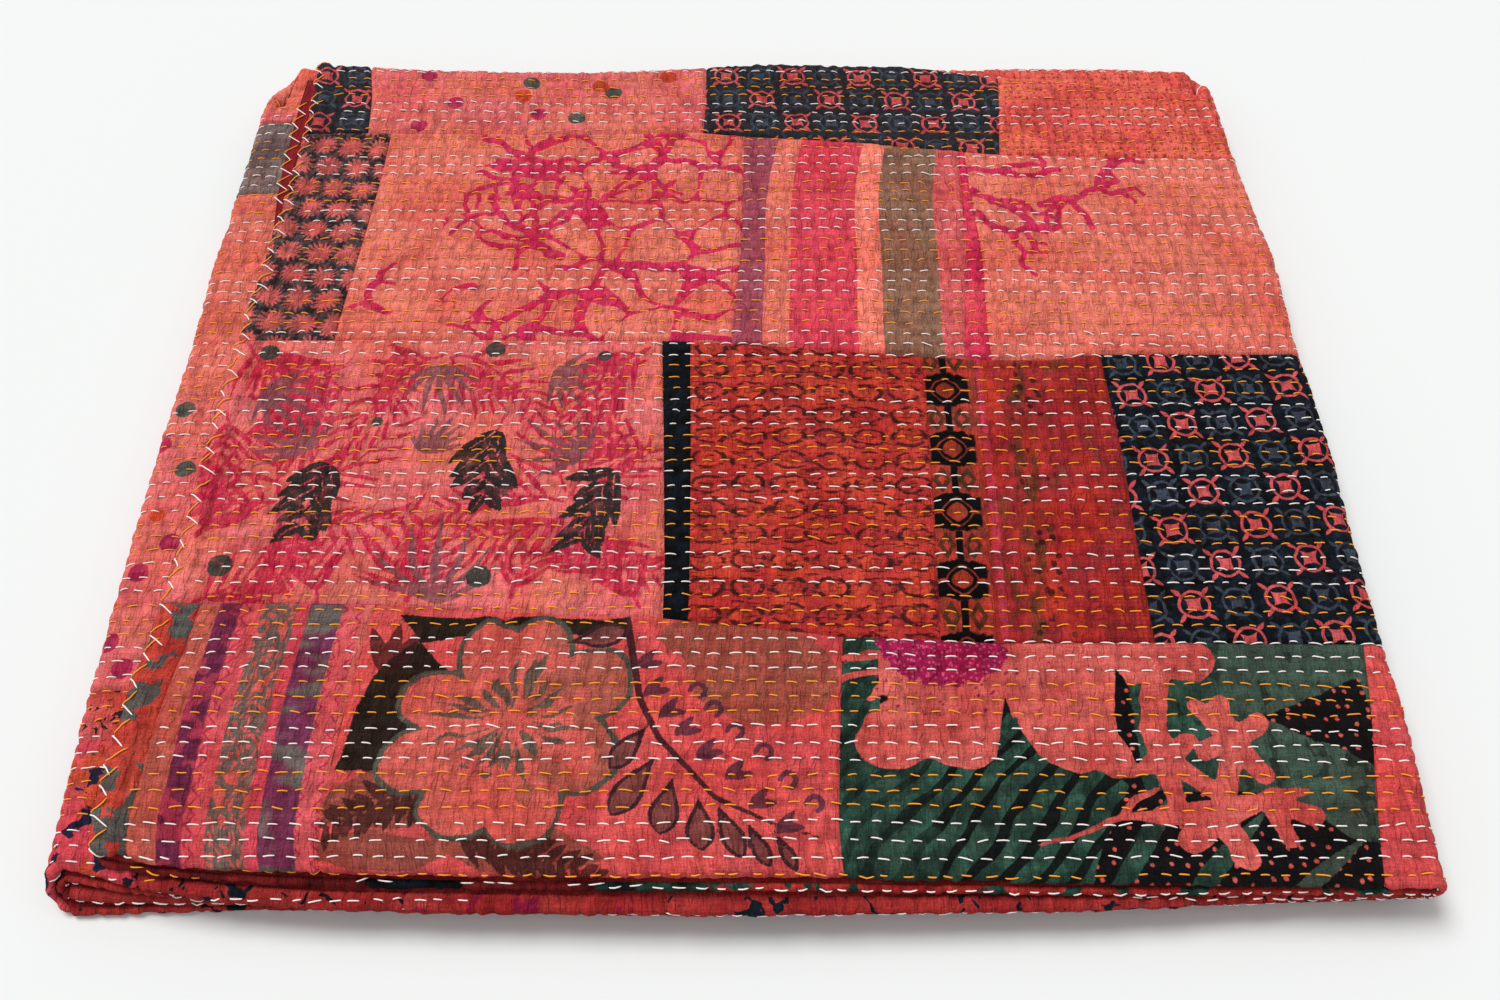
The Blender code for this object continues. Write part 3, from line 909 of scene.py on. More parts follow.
def gardenInk(b, c):
    random = np.random.default_rng(5)
    looseB, looseC = swayed(b, c, 1.6, 10.0, 53)
    petals = blobs(looseB, looseC, [
        (462, -262, 32, 21, 0.42), (494, -258, 28, 28, 0.1), (478, -226, 56, 17, 0.0),
        (536, -230, 28, 24, 0.0), (561, -253, 35, 33, -0.45), (586, -277, 26, 12, -0.1),
        (566, -212, 68, 22, 0.0), (628, -212, 24, 15, -0.3)], 1.6)
    notch = cornered(b, c, [(521, -238), (513, -278), (529, -278)])
    slot = cornered(looseB, looseC, [(588, -216), (600, -243), (607, -268), (594, -281), (585, -264)])
    branches = [
        (613, -226, 607, -258, 9.0, 8.0), (607, -258, 612, -290, 8.5, 7.0), (612, -290, 614, -305, 7.0, 5.5),
        (582, -313, 590, -302, 1.8, 2.2), (590, -302, 603, -297, 2.2, 1.2), (582, -313, 604, -312, 2.0, 4.5),
        (604, -312, 640, -312, 6.0, 8.5), (640, -312, 668, -302, 8.0, 4.5), (668, -302, 690, -296, 4.5, 1.6),
        (534, -331, 562, -321, 1.0, 1.4), (562, -321, 582, -313, 1.4, 2.0)]
    branches += fingers(612, -278, ((631, -293), (642, -301), (626, -268)), 6.0, 5.5)
    branches += fingers(
        652, -265, ((635, -245), (648, -245), (671, -256), (636, -273), (646, -297), (668, -289)), 7.0, 6.0)
    branches += fingers(638, -312, ((619, -327), (648, -337)), 8.0, 7.5)
    branches += fingers(668, -304, ((674, -325), (691, -312)), 6.0, 6.0)
    ferns = cornered(looseB, looseC, [
        (415, -195), (415, -365), (550, -365), (588, -294), (560, -250), (446, -250), (446, -195)])
    broad = cornered(looseB, looseC, [
        (596, -195), (765, -195), (765, -335), (712, -326), (672, -298), (596, -298)])
    gap = cornered(looseB, looseC, [(672, -252), (736, -226), (744, -286)])
    blades = drops(b, c, [(562, -366, 0.9, 96, 12), (604, -366, 0.75, 84, 11), (664, -362, 0.6, 66, 9)])
    stamen = blobs(b, c, [(486, -199, 40, 34, 0.0)]) - 3 * softNoise(b / 5, c / 5, 21)
    tassels = strokes(looseB, looseC, [
        (426, -214, 450, -212, 2.6, 2.6), (424, -228, 450, -222, 2.4, 2.4), (440, -241, 456, -226, 2.4, 2.6)])
    freckles = np.full(b.shape, 99.0)
    for _ in range(40):
        angle, away = random.uniform(3.3, 6.1), random.uniform(36, 54)
        spotB, spotC = 486 + away * 1.25 * math.cos(angle), -199 + away * math.sin(angle)
        freckles = np.minimum(freckles, np.hypot(b - spotB, c - spotC) - random.uniform(0.7, 1.4))
    petals = np.maximum(petals, -np.minimum(notch, slot))
    shore = strokes(looseB, looseC, branches)
    clear = np.maximum(cornered(b, c, [(415, -204), (446, -204), (446, -250), (415, -256)]), -tassels)
    coral = np.minimum(np.minimum(np.maximum(petals, -clear), tassels), shore)
    leaves = np.minimum(np.minimum(ferns, np.maximum(broad, -gap)), blades)
    return {"leaf": leaves, "petal": coral, "stamen": stamen, "freckle": freckles}


def gardenPrint(place):
    # green leaves and coral petals on black, which is dotted with coral
    x, y = split(place)
    leafTone = noise(place, 0.05, 3.0, 0.6)
    ground = blend(dots(place, 0.105, 1.25), "121012", "c85c52")
    leaf = blend(fall(leafTone, 0.40, 0.62), "345a4c", "233c35")
    leaf = blend(fall(leafTone * 60.0 - x, -640.0, -600.0) * 0.55, leaf, "4c5a50")
    slanted = x * 0.77 - y * 0.64 + noise(place, 0.02, 1.0) * 22.0
    wave = sine(slanted * (2 * math.pi / 15.0)) + noise(place, 0.03) * 1.6
    toRight = fall(leafTone * 90.0 - x, -440.0, -405.0)
    dark = fall(wave, 0.25, 0.5) * fall(x, 580.0, 600.0) * (toRight * 0.45 + 0.55)
    vein = fall(stretched(shaken(place, 5.0, 0.05), (0.085, 0.012), 1.0, turn=-0.75), 0.36, 0.41)
    leaf = blend(most(dark, vein * fall(x, 610.0, 590.0) * 0.6), leaf, "101816")
    petal = blend(fall(noise(place, 0.03, 3.0), 0.4, 0.6), "d26660", "c25450")
    stamen = blend(dots(place, 0.28, 0.8, 1.0), "9c1a4e", "c45078")
    rough = noise(place, 0.5, 3.0, 0.6) - 0.5
    return inked(ground, *((inkEdge(name, rough, ragged), ink) for name, ragged, ink in (
        ("leaf", 3.0, leaf), ("petal", 1.4, petal), ("freckle", 0.6, "8c2a4a"), ("stamen", 2.5, stamen))))


def flowerInk(b, c):
    random = np.random.default_rng(12)
    heartB, heartC = 230.0, -256.0
    looseB, looseC = swayed(b, c, 2.4, 12.0, 51)
    flower = blobs(looseB, looseC, [
        (211, -213, 19, 24, 0.1), (240, -212, 20, 24, -0.1), (272, -233, 28, 24, 0.35),
        (269, -277, 26, 24, -0.4), (203, -306, 22, 22, 0.1), (239, -307, 24, 24, -0.1),
        (180, -281, 25, 20, 0.3), (185, -244, 26, 20, -0.3), (heartB, heartC, 43, 36, 0.0)], 1.3)
    rays, veins = [], []

    def fromHeart(angle, far):
        return heartB + far * math.cos(angle), heartC + far * math.sin(angle)

    for index in range(26):
        angle = index * 2 * math.pi / 26 + random.uniform(-0.09, 0.09)
        start, end, wide = random.uniform(4, 16), random.uniform(26, 50), random.uniform(1.1, 3.0)
        middle = start + (end - start) * 0.6
        away = [fromHeart(angle, far) for far in (start, middle, end)]
        rays += [(*away[0], *away[1], 0.4, wide), (*away[1], *away[2], wide, 0.3)]
    for index in range(44):
        angle, start = index * 2 * math.pi / 44 + 0.05, random.uniform(26, 44)
        veins.append((*fromHeart(angle, start), *fromHeart(angle + 0.05, 64), 0.5, 0.3))
    hanging = [(310, -258, 289, -286, 15), (316, -277, 291, -314, 18), (326, -290, 319, -325, 18),
               (341, -302, 342, -334, 17), (351, -306, 365, -338, 14), (368, -316, 379, -343, 11),
               (383, -322, 394, -345, 9), (255, -205, 292, -197, 17)]
    fruit = [
        (rootB, rootC, math.atan2(endC - rootC, endB - rootB), math.dist((rootB, rootC), (endB, endC)), wide)
        for rootB, rootC, endB, endC, wide in hanging]
    stalk = strokes(b, c, [
        (291, -188, 304, -242, 2.4, 2.0), (304, -242, 316, -266, 2.0, 1.7), (316, -266, 350, -303, 1.7, 1.4),
        (350, -303, 384, -319, 1.4, 1.0), (384, -319, 408, -326, 1.0, 0.6)])
    sprouts, curls = [], []
    buds = (
        (312, -214), (318, -232), (328, -246), (338, -258), (351, -272), (368, -285), (382, -302),
        (397, -316))
    for index, (budB, budC) in enumerate(buds):
        sprouts.append((budB - 12, budC - 8, math.radians(50), 17, 6.5))
        sprouts.append((budB - 10, budC - 6, math.radians(8), 15, 5.5))
        if index > 1:
            curls += curl(budB + 10, budC + 9, 4.6, math.radians(-70), math.radians(250), 1.5)
    feather, barbs = frondShapes(196, -294, math.radians(196), 70, 10, 26, 6.5, 0.25, 1.0)
    fan, quills = frondShapes(200, -322, math.radians(-14), 84, 12, 27, 6.0, -0.15, 0.8)
    bodies = drops(looseB, looseC, [
        (204, -294, math.radians(193), 84, 38), (186, -322, math.radians(-10), 100, 34)], 0.9)
    tulip = [(150, -226, math.radians(turn), 36, 10) for turn in (62, 88, 116)]
    shade = 0.30 * (258 - b) + 9 * softNoise(b / 16, c / 12, 23)
    shadow = cornered(looseB, looseC, [
        (133, -288), (137, -240), (160, -203), (292, -196), (292, -188), (150, -187), (205, -240),
        (178, -288)])
    fern = np.minimum(drops(b, c, barbs + quills + tulip), strokes(b, c, feather + fan))
    fruits = drops(b, c, fruit, 1.7)
    return {
        "flower": flower, "outline": np.abs(flower + 0.5) - 1.5, "heart": strokes(looseB, looseC, rays),
        "vein": np.maximum(strokes(looseB, looseC, veins), flower + 2),
        "shaded": np.maximum(shade, flower), "spray": np.minimum(np.abs(fruits + 1.2) - 1.2, stalk),
        "fruit": fruits, "twig": np.minimum(strokes(b, c, curls), drops(b, c, sprouts)),
        "under": np.minimum(bodies, blobs(looseB, looseC, [(160, -334, 40, 10, 0.0)])),
        "broad": blobs(b, c, [(376, -226, 46, 32, -0.12), (348, -200, 36, 14, 0.0)]),
        "fern": fern, "shadow": shadow}


flowerInks = [  # name of the distance kept on the mesh, colour, strength, raggedness, share hatched
    ("shadow", "1a1e16", 0.98, 3.0, 0), ("under", "864a3e", 0.85, 2.5, 0), ("fern", "3a1f1e", 0.85, 1.2, 0),
    ("broad", "80543e", 0.75, 2.5, 0.25), ("flower", "d0625a", 1.0, 1.6, 0),
    ("shaded", "945848", 0.65, 2.5, 0), ("vein", "a05048", 0.65, 0.6, 0), ("outline", "46524a", 0.92, 2.2, 0),
    ("heart", "50544a", 0.88, 2.2, 0), ("fruit", "6c3e3c", 0.88, 1.6, 0), ("spray", "3c2028", 0.95, 1.6, 0),
    ("twig", "4c2c3e", 0.88, 1.6, 0),
]


def flowerPrint(place):
    colour = plain("warmRose", "dustyRose", 0.03)(place)
    rough = noise(place, 0.5, 3.0, 0.6) - 0.5
    hatch = fall(stretched(shaken(place, 3.0), (0.32, 0.03), turn=0.6), 0.46, 0.52)
    for name, ink, strength, ragged, hatched in flowerInks:
        mask = inkEdge(name, rough, ragged) * strength
        if hatched:
            mask = mask * (1.0 - hatch * hatched)
        colour = blend(mask, colour, ink)
    return colour


def leafInk(b, c):
    # b and c of the root, direction in degrees, length, and for a frond which way it bends
    frondRows = (
        (58, -96, 20, 88, 1), (60, -98, 62, 90, 1), (56, -100, 110, 84, -1), (54, -104, 165, 60, 1),
        (60, -112, -70, 60, -1), (66, -110, -25, 78, 1), (248, -100, 15, 64, 1), (246, -98, 60, 90, 1),
        (242, -96, 112, 92, -1), (240, -104, 160, 74, 1), (244, -112, 215, 70, -1), (252, -114, -60, 64, 1),
        (158, 24, -20, 84, -1), (156, 22, -70, 50, 1), (150, 24, 205, 86, 1), (16, 30, -50, 60, 1),
        (20, -14, -12, 50, -1), (292, 18, 215, 56, 1), (150, -178, 60, 56, 1), (152, -178, 118, 58, -1),
        (14, -176, 40, 56, -1), (296, -180, 118, 60, 1), (20, -48, 20, 40, 1), (8, 34, -62, 76, 1),
        (6, -30, -70, 60, -1), (10, -130, 65, 52, 1), (214, -176, 75, 66, -1), (96, -178, 100, 52, 1),
        (292, 30, 232, 62, -1), (298, -60, 160, 52, 1), (110, 30, -60, 50, -1))
    tuftRows = (
        (150, 14, -88, 50), (64, -66, 128, 50), (252, -70, 140, 56), (166, -176, 92, 74), (30, -6, -35, 46),
        (226, 8, -30, 44), (150, -60, 75, 34))
    sprayRows = ((92, -60, -118, 62), (196, -34, -106, 60), (286, -68, -128, 66))
    looseB, looseC = swayed(b, c, 4.0, 30.0, 61)
    leaflets, stems, blades, dark, pale = [], [], [], [], []
    for rootB, rootC, angle, length, bend in frondRows:
        lines, shapes = frondShapes(rootB, rootC, math.radians(angle), length, 7, 39, 3.9, 0.9 * bend, 0.66)
        stems += lines
        leaflets += shapes
    for rootB, rootC, angle, length in tuftRows:
        for turn in range(-3, 4):
            lean = math.radians(angle + 21 * turn)
            blades.append((rootB, rootC, lean, length * (1 - 0.11 * abs(turn)), 4.6))
    for rootB, rootC, angle, length in sprayRows:
        lines, shapes = frondShapes(rootB, rootC, math.radians(angle), length, 5, 39, 11.5, 0.5, 0.62)
        dark += shapes
        pale += [(leafB, leafC, lean, size * 0.75, 1.3) for leafB, leafC, lean, size, wide in shapes]
        stems += lines
    berries = [(24, 24, 7), (184, 28, 7), (28, -150, 8), (194, -158, 8), (262, 22, 5), (110, -36, 4)]
    fronds = np.minimum(drops(looseB, looseC, leaflets), strokes(looseB, looseC, stems))
    return {
        "frond": fronds, "wash": fronds - 3.5 + 4 * softNoise(b / 12, c / 12, 65),
        "sprig": drops(looseB, looseC, blades),
        "pod": np.maximum(drops(looseB, looseC, dark), -drops(looseB, looseC, pale)),
        "berry": np.min([np.hypot(b - x, c - y) - size for x, y, size in berries], axis=0)}


def veinNet(b, c, seed, wide, high, thick):  # a net of uneven meshes, below 0 on its veins
    u, v = b / wide, c / high
    cellU, cellV = np.floor(u).astype(int), np.floor(v).astype(int)
    grid = np.random.default_rng(seed).uniform(0.1, 0.9, (64, 64, 2))
    near = []
    for stepU in (-1, 0, 1):
        for stepV in (-1, 0, 1):
            middle = grid[(cellU + stepU) % 64, (cellV + stepV) % 64]
            awayU, awayV = cellU + stepU + middle[..., 0] - u, cellV + stepV + middle[..., 1] - v
            near.append(np.hypot(awayU * wide, awayV * high))
    near = np.sort(near, axis=0)
    return (near[1] - near[0]) / 2 - thick - 2.2 * np.exp((near[0] - near[2]) / 5)


def branchInk(seed, roots, netFrom=None):
    def draw(b, c):
        picker = chance.Random(seed)
        lines = []
        for root in roots:
            growBranch(picker, lines, *root)
        ink = strokes(*swayed(b, c, 2.0, 9.0, 47), lines)
        if netFrom:
            thick = 2.1 + 2.4 * softNoise(b / 26, c / 17, 41)
            thick = thick - 0.08 * np.maximum(netFrom + 60 * softNoise(b / 50, c / 26, 45) - b, 0)
            ink = np.minimum(ink, veinNet(*swayed(b, c, 7.0, 21.0, 42), 44, 60, 22, thick))
        return {"branch": ink}
    return draw


prints = {
    "ringPrint": ringPrint(math.radians(40), (2.7, 15.8)),
    "ringBack": ringPrint(math.radians(45), (4.5, 24.5), 40.0, 0.17),
    "spotPink": inkPrint("pink", "coral", [
        ("spotMagenta", "magentaSpot", 1.0, 1.0), ("spotGreen", "greenSpot", 1.0, 1.0),
        ("spotOrange", "orangeSpot", 1.0, 1.0)]),
    "branchPrint": inkPrint("coral", "salmon", [("branch", "magenta", 1.0, 0.8)]),
    "leafPrint": inkPrint("salmon", "pink", [
        ("wash", "crimson", 0.20, 3.0), ("frond", "crimson", 1.0, 0.8), ("sprig", "tuft", 0.85, 1.0),
        ("pod", "darkLeaf", 0.97, 1.4), ("berry", "greyGreen", 0.97, 1.4)], "frond"),
    "tinyDots": tinyDotPrint, "starPrint": starPrint, "stripePrint": stripePrint,
    "ornamentPrint": ornamentPrint, "borderPrint": borderPrint, "mottledPrint": mottledPrint,
    "floralStrip": floralStrip, "batikPrint": batikPrint, "flowerPrint": flowerPrint,
    "gardenPrint": gardenPrint, "brushPrint": brushPrint,
    "magentaPlain": plain("magenta", "rose"), "blackPlain": plain("black", "navy", 0.1),
    "coralPlain": plain("dustyRose", "warmRose"), "paleCoral": plain("brightCoral", "salmon"),
    "pinkPlain": plain("pink", "salmon"), "greyBrown": plain("greyBrown", "greyMauve", 0.03),
    "orangePink": plain("coral", "salmon"), "rustPlain": plain("deepRed", "rust"),
    "winePlain": plain("wine", "deepRed"), "greenPlain": plain("green", "navy", 0.05),
    "redMarks": bandPrint("flame", "pink", "charcoal", 0.40, 0.12),
    "rustNavy": bandPrint("deepRed", "rust", "navy", 0.40),
    "rustGreen": bandPrint("deepRed", "red", "green", 0.42, 0.03),
    "rustMagenta": bandPrint("deepRed", "rust", "wineRose", 0.44, 0.03),
    "reverseCotton": lambda place: "8a1f28",
}
materials = {name: clothMaterial(name, paint) for name, paint in prints.items()}
print("materials ready:", len(materials))

# The seams between the rows of patches on the top, each as a list of b and a list of c.

seams = {
    "backSeam": (
        (-5, 52, 192, 326, 356, 449, 567, 648, 733, 800),
        (255.6, 255.6, 255.6, 256.8, 253.2, 246.1, 234.4, 233.2, 232, 231)),
    "middleSeam": (
        (-5, 107, 302, 322, 401, 489, 532, 578, 616, 686, 800),
        (37, 37.9, 37, 36.1, 30.5, 24, 21.3, 21.3, 26.8, 28.6, 29.6)),
    "frontSeam": (
        (-5, 85, 132, 186, 249, 312, 386, 425, 475, 521, 617, 705, 800),
        (-175.7, -176.4, -177.1, -181.3, -184.9, -187, -195.3, -200.1, -200.8, -203.6, -202.2,
         -202.9, -202.2)),
}
rims = {  # which line of the fold an edge follows, and how far behind it the edge lies
    "frontRim": ("front", -10.8), "frontFlat": ("front", 5.0),
    "backRim": ("back", 20.5), "backFlat": ("back", -5.0), "backDeep": ("back", -58.0),
}


def edgeLine(name, b, under):  # the c of an edge at b: a seam, a rim of the fold, or a fixed place
    if name in rims:
        line, behind = rims[name]
        return (backOfFlat(b) if line == "back" else frontOf(b, under)) + behind
    if name in seams:
        return np.interp(b, *seams[name])
    return np.full(np.shape(b), float(name))


# Rows of patches, as (front edge, back edge, b of the first side seam, patches). A patch has a name,
# a print, the b of its right seam and perhaps drawn motifs. A slanted seam has its b at the front
# and at the back. Each patch starts at the seam where the one before it ends.

hemEdge, foldEnd = -4.4, endRight - 1.0
stripStart, stripEnd = endMiddle - 44.0, endLeft - 1.0
patchWork = {
    "step": 1.75, "tuck": 0.85, "tuckWidth": 1.3, "allowance": 0.22,
    "face": [
        ("backSeam", "backRim", hemEdge, [
            ("ringSliver", "ringBack", (51, 43)),
            ("spottedPink", "spotPink", (326, 332), spotInk([
                ("spotMagenta", 6.9, (119, 291), (95, 326), (189, 279), (92, 264)),
                ("spotGreen", 7.2, (182, 317), (251, 306), (221, 275)),
                ("spotOrange", 7.2, (175, 301), (298, 325), (240, 314))])),
            ("ringBack", "ringBack", (567, 582)),
            ("dottedCoral", "tinyDots", foldEnd)]),
        ("middleSeam", "backSeam", hemEdge, [
            ("starStrip", "starPrint", (67, 70)),
            ("branchPanel", "branchPrint", (352, 360), branchInk(7, [
                (218, 176, 3.0, 4.2, 8), (222, 118, 3.3, 4.0, 9), (216, 214, 2.7, 3.8, 7),
                (220, 78, 3.1, 3.4, 7), (84, 70, 1.2, 2.8, 3), (104, 62, 2.8, 2.6, 3),
                (300, 252, 4.2, 4.2, 6)], 188)),
            ("stripePanel", "stripePrint", (519, 534)),
            ("magentaSliver", "magentaPlain", (537, 538)),
            ("branchCorner", "branchPrint", foldEnd, branchInk(4, [
                (540, 190, -0.30, 4.4, 6), (592, 176, 0.30, 4.2, 7), (540, 216, 0.1, 3.6, 7),
                (541, 168, -0.95, 3.6, 6), (640, 196, 0.75, 3.4, 5)]))]),
        ("frontSeam", "middleSeam", hemEdge, [
            ("leafPanel", "leafPrint", (313, 302), leafInk),
            ("blackStrip", "blackPlain", (328.6, 322)),
            ("ornamentPanel", "ornamentPrint", (485, 488)),
            ("borderStrip", "borderPrint", (520, 524)),
            ("mottledPanel", "mottledPrint", (617.6, 615)),
            ("ringPanel", "ringPrint", foldEnd)]),
        ("frontRim", "frontSeam", hemEdge, [
            ("floralStrip", "floralStrip", (18, 22.6)),
            ("batikPanel", "batikPrint", (125.6, 132.3)),
            ("flowerPanel", "flowerPrint", (419.5, 424.8), flowerInk),
            ("gardenPanel", "gardenPrint", (722, 746), gardenInk),
            ("coralCorner", "coralPlain", foldEnd)]),
        ("frontRim", "frontFlat", endRight, [
            ("middleTurnOne", "rustNavy", 1180), ("middleTurnTwo", "rustPlain", endLeft),
            ("bottomTurnOne", "rustMagenta", 1990), ("bottomTurnTwo", "rustNavy", endBottom)]),
        ("280", "backRim", endLeft - 20, [("bottomBackOne", "paleCoral", 1720)]),
        ("backFlat", "backRim", 1720, [
            ("bottomBackTwo", "greyBrown", 1930), ("bottomBackThree", "ornamentPrint", 2140),
            ("bottomBackFour", "orangePink", endBottom)]),
    ],
    "under": [
        ("frontRim", "frontFlat", 0, [
            # the wine cloth on these two turns is partly the lining's dark red and partly painted shade in
            # the gap under the top layer
            ("turnRust", "winePlain", 150), ("turnBlack", "blackPlain", 204),
            ("turnRustTwo", "winePlain", 278), ("turnGreen", "greenPlain", 342),
            ("turnRustThree", "rustGreen", endRight),
            ("middleNavy", "rustNavy", 1212), ("middleMagenta", "rustMagenta", 1360),
            ("middleSpots", "rustNavy", stripStart)]),
        ("frontRim", "-263", stripStart, [("stripBrush", "brushPrint", stripEnd)]),
        ("-263", "-230", stripStart, [("stripMarks", "redMarks", stripEnd)]),
        ("-230", "-3", stripStart, [("stripSpots", "spotPink", stripEnd, spotInk([
            ("spotMagenta", 6.8, (1563, -46), (1539, -125), (1554, -148), (1561, -198), (1548, -216)),
            ("spotGreen", 7.0, (1554, -16), (1542, -67)),
            ("spotOrange", 5.0, (1552, -104), (1568, -172))]))]),
        ("-3", "200", stripStart, [("stripOrange", "orangePink", stripEnd)]),
        ("200", "284", stripStart, [("stripGrey", "greyBrown", stripEnd)]),
        ("284", "backRim", stripStart, [("stripCoral", "pinkPlain", stripEnd)]),
        ("backDeep", "backRim", endRight, [
            ("middleBackOne", "tinyDots", 990), ("middleBackTwo", "tinyDots", 1210)]),
        ("backFlat", "backRim", 1210, [
            ("middleBackThree", "coralPlain", 1400), ("middleBackFour", "blackPlain", stripStart)]),
        ("frontRim", "frontFlat", endLeft, [
            ("bottomNavy", "rustNavy", 1850), ("bottomRust", "rustPlain", 2120),
            ("bottomMarks", "rustMagenta", endBottom)]),
    ],
}


def sewPatch(name, printName, low, high, left, right, ink, under):
    width = (right[0] + right[1] - left[0] - left[1]) / 2
    across = np.linspace(min(left), max(right), 9)
    length = float(np.mean(edgeLine(high, across, under) - edgeLine(low, across, under)))
    step = patchWork["step"]
    columns, rows = max(4, round(width / step)) + 1, max(6, round(length / step)) + 1
    u, v = np.meshgrid(np.linspace(0, 1, columns), np.linspace(0, 1, rows))
    leftB, rightB = left[0] + (left[1] - left[0]) * v, right[0] + (right[1] - right[0]) * v
    b = leftB + (rightB - leftB) * u
    lowC, highC = edgeLine(low, b, under), edgeLine(high, b, under)
    c = lowC + (highC - lowC) * v
    toEdge = np.minimum(np.minimum(u, 1 - u) * width, np.minimum(v, 1 - v) * length)
    height = clothHeight(b, c, under)
    # crest is the relief's height; the cloth's shader paints shade in the rows and highlight on the ridges
    # from it
    marks = {"crest": np.clip((height + relief["sink"]) / 1.2, 0, 1)}
    if ink:
        marks.update(ink(b, c))
    height = height + patchWork["allowance"] * np.clip(toEdge / 1.5, 0, 1) * np.clip((8 - toEdge) / 2, 0, 1)
    tucked = np.exp(-((toEdge / patchWork["tuckWidth"]) ** 2))
    height = height * (1 - tucked) - (relief["sink"] + patchWork["tuck"]) * tucked
    points = facePoint(b, c, under) + faceNormal(b, c, under) * height[..., None] * mm
    points[..., 2] = np.maximum(points[..., 2], 0.2 * mm)
    uv = np.stack([b, c], axis=-1).reshape(-1, 2) * mm
    patch = makeMesh(name, points.reshape(-1, 3), gridFaces(rows, columns, under), uv, marks)
    patch.data.materials.append(materials[printName])
    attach(patch, "root")
    max(width, 10) * mm
    return patch


def sewPatches():
    patches = []
    for zone in ("face", "under"):
        for low, high, start, row in patchWork[zone]:
            left = (start, start)
            for name, printName, end, *ink in row:
                right = end if isinstance(end, tuple) else (end, end)
                motifs = ink[0] if ink else None
                patches.append(sewPatch(name, printName, low, high, left, right, motifs, zone == "under"))
                left = right
    return patches


body = {"cover": 1.0, "topSteps": 60, "foldSteps": 12, "flatSteps": 20, "turnSteps": 8, "wrapSteps": 12}


def bodySection(b, cover):
    # The strip's section at b, as (y, n, hem) points from one long hem to the other. cover is the
    # cloth's thickness on the face side, and 0 on the back.
    pitch = layerPitch(alongStrip(b)[0])
    halfGap = (pitch - cloth) / 2
    out = halfGap + cover
    inset = cloth - cover if cover else cloth
    frontB, frontA, back = frontOfUnder(b), frontOfFace(b), backOfFlat(b)
    hemY = back - strip["hemBack"]
    middleB, middleA = pitch - halfGap, 3 * pitch - halfGap
    wrapMiddle = (3 * pitch + cloth) / 2
    points = []

    def flat(start, end, n, hem="hem"):
        for share in np.linspace(0, 1, body["flatSteps"]):
            points.append((start + (end - start) * share, n, hem))

    def turn(y, bulge, middle, high, steps, hems=("hem", "hem")):
        for step in range(1, steps):
            angle = math.pi * step / steps
            hem = hems[step * 2 >= steps]
            points.append((y + bulge * math.sin(angle), middle + high * math.cos(angle), hem))

    flat(hemY, frontB, middleB + out)
    turn(frontB, -(strip["frontTurn"] - inset), middleB, out, body["turnSteps"])
    flat(frontB, back, middleB - out)
    turn(back, strip["backTurn"] - inset, wrapMiddle, -(wrapMiddle - inset), body["wrapSteps"])
    flat(back, frontA, middleA + out)
    turn(frontA, -(strip["frontTurn"] - inset), middleA, out, body["turnSteps"], ("hem", "secondHem"))
    flat(frontA, hemY, middleA - out, "secondHem")
    return points


def foldBody():
    spans = ((0.0, endTop, body["topSteps"]), (endTop, endRight, body["foldSteps"]),
             (endRight, endMiddle, body["topSteps"]), (endMiddle, endLeft, body["foldSteps"]),
             (endLeft, endBottom, body["topSteps"]))
    stations = [np.linspace(start, end, count, endpoint=False) for start, end, count in spans]
    stations = np.concatenate(stations + [[endBottom]])
    layers = []
    for cover in (body["cover"], 0.0):
        rows = []
        for b in stations:
            y, n, hems = (np.array(values) for values in zip(*bodySection(b, cover)))
            inFirst, inSecond = (place(np.full(len(y), b), y, n, hem) for hem in ("hem", "secondHem"))
            rows.append(np.where((hems == "secondHem")[:, None], inSecond, inFirst))
        layers.append(np.array(rows))
    rows, columns = layers[0].shape[:2]
    points = np.concatenate([layer.reshape(-1, 3) for layer in layers])
    half = rows * columns
    corner = np.arange(half).reshape(rows, columns)
    faces = [gridFaces(rows, columns, True), gridFaces(rows, columns) + half]
    for line, flip in ((corner[0], False), (corner[-1], True), (corner[:, 0], True), (corner[:, -1], False)):
        wall = np.stack([line[:-1], line[1:], line[1:] + half, line[:-1] + half], axis=-1)
        faces.append(wall[:, ::-1] if flip else wall)
    uv = np.stack(np.meshgrid(stations, np.arange(columns) * 7.0, indexing="ij"), axis=-1).reshape(-1, 2) * mm
    marks = {"crest": np.full(2 * half, 0.5)}
    made = makeMesh("quiltBody", points, np.concatenate(faces), np.concatenate([uv, uv]), marks)
    made.data.materials.append(materials["rustPlain"])
    made.data.materials.append(materials["reverseCotton"])
    faceCount = len(faces[0])
    index = np.zeros(len(made.data.polygons), np.int32)
    index[faceCount:] = 1
    made.data.polygons.foreach_set("material_index", index)
    return made


quiltBody = foldBody()
print("body:", len(quiltBody.data.polygons), "faces")
patches = sewPatches()
print("patches:", len(patches), "with", sum(len(patch.data.polygons) for patch in patches), "faces")

thread = {
    "sides": 5, "radius": 0.45, "length": 8.2, "rise": 0.62, "dip": 0.8, "taper": 0.45, "missing": 0.012,
    "white": "fff8f2", "gold": "ffa626", "deepToneAndShade": "e0a090", "ply": 1.1,
}


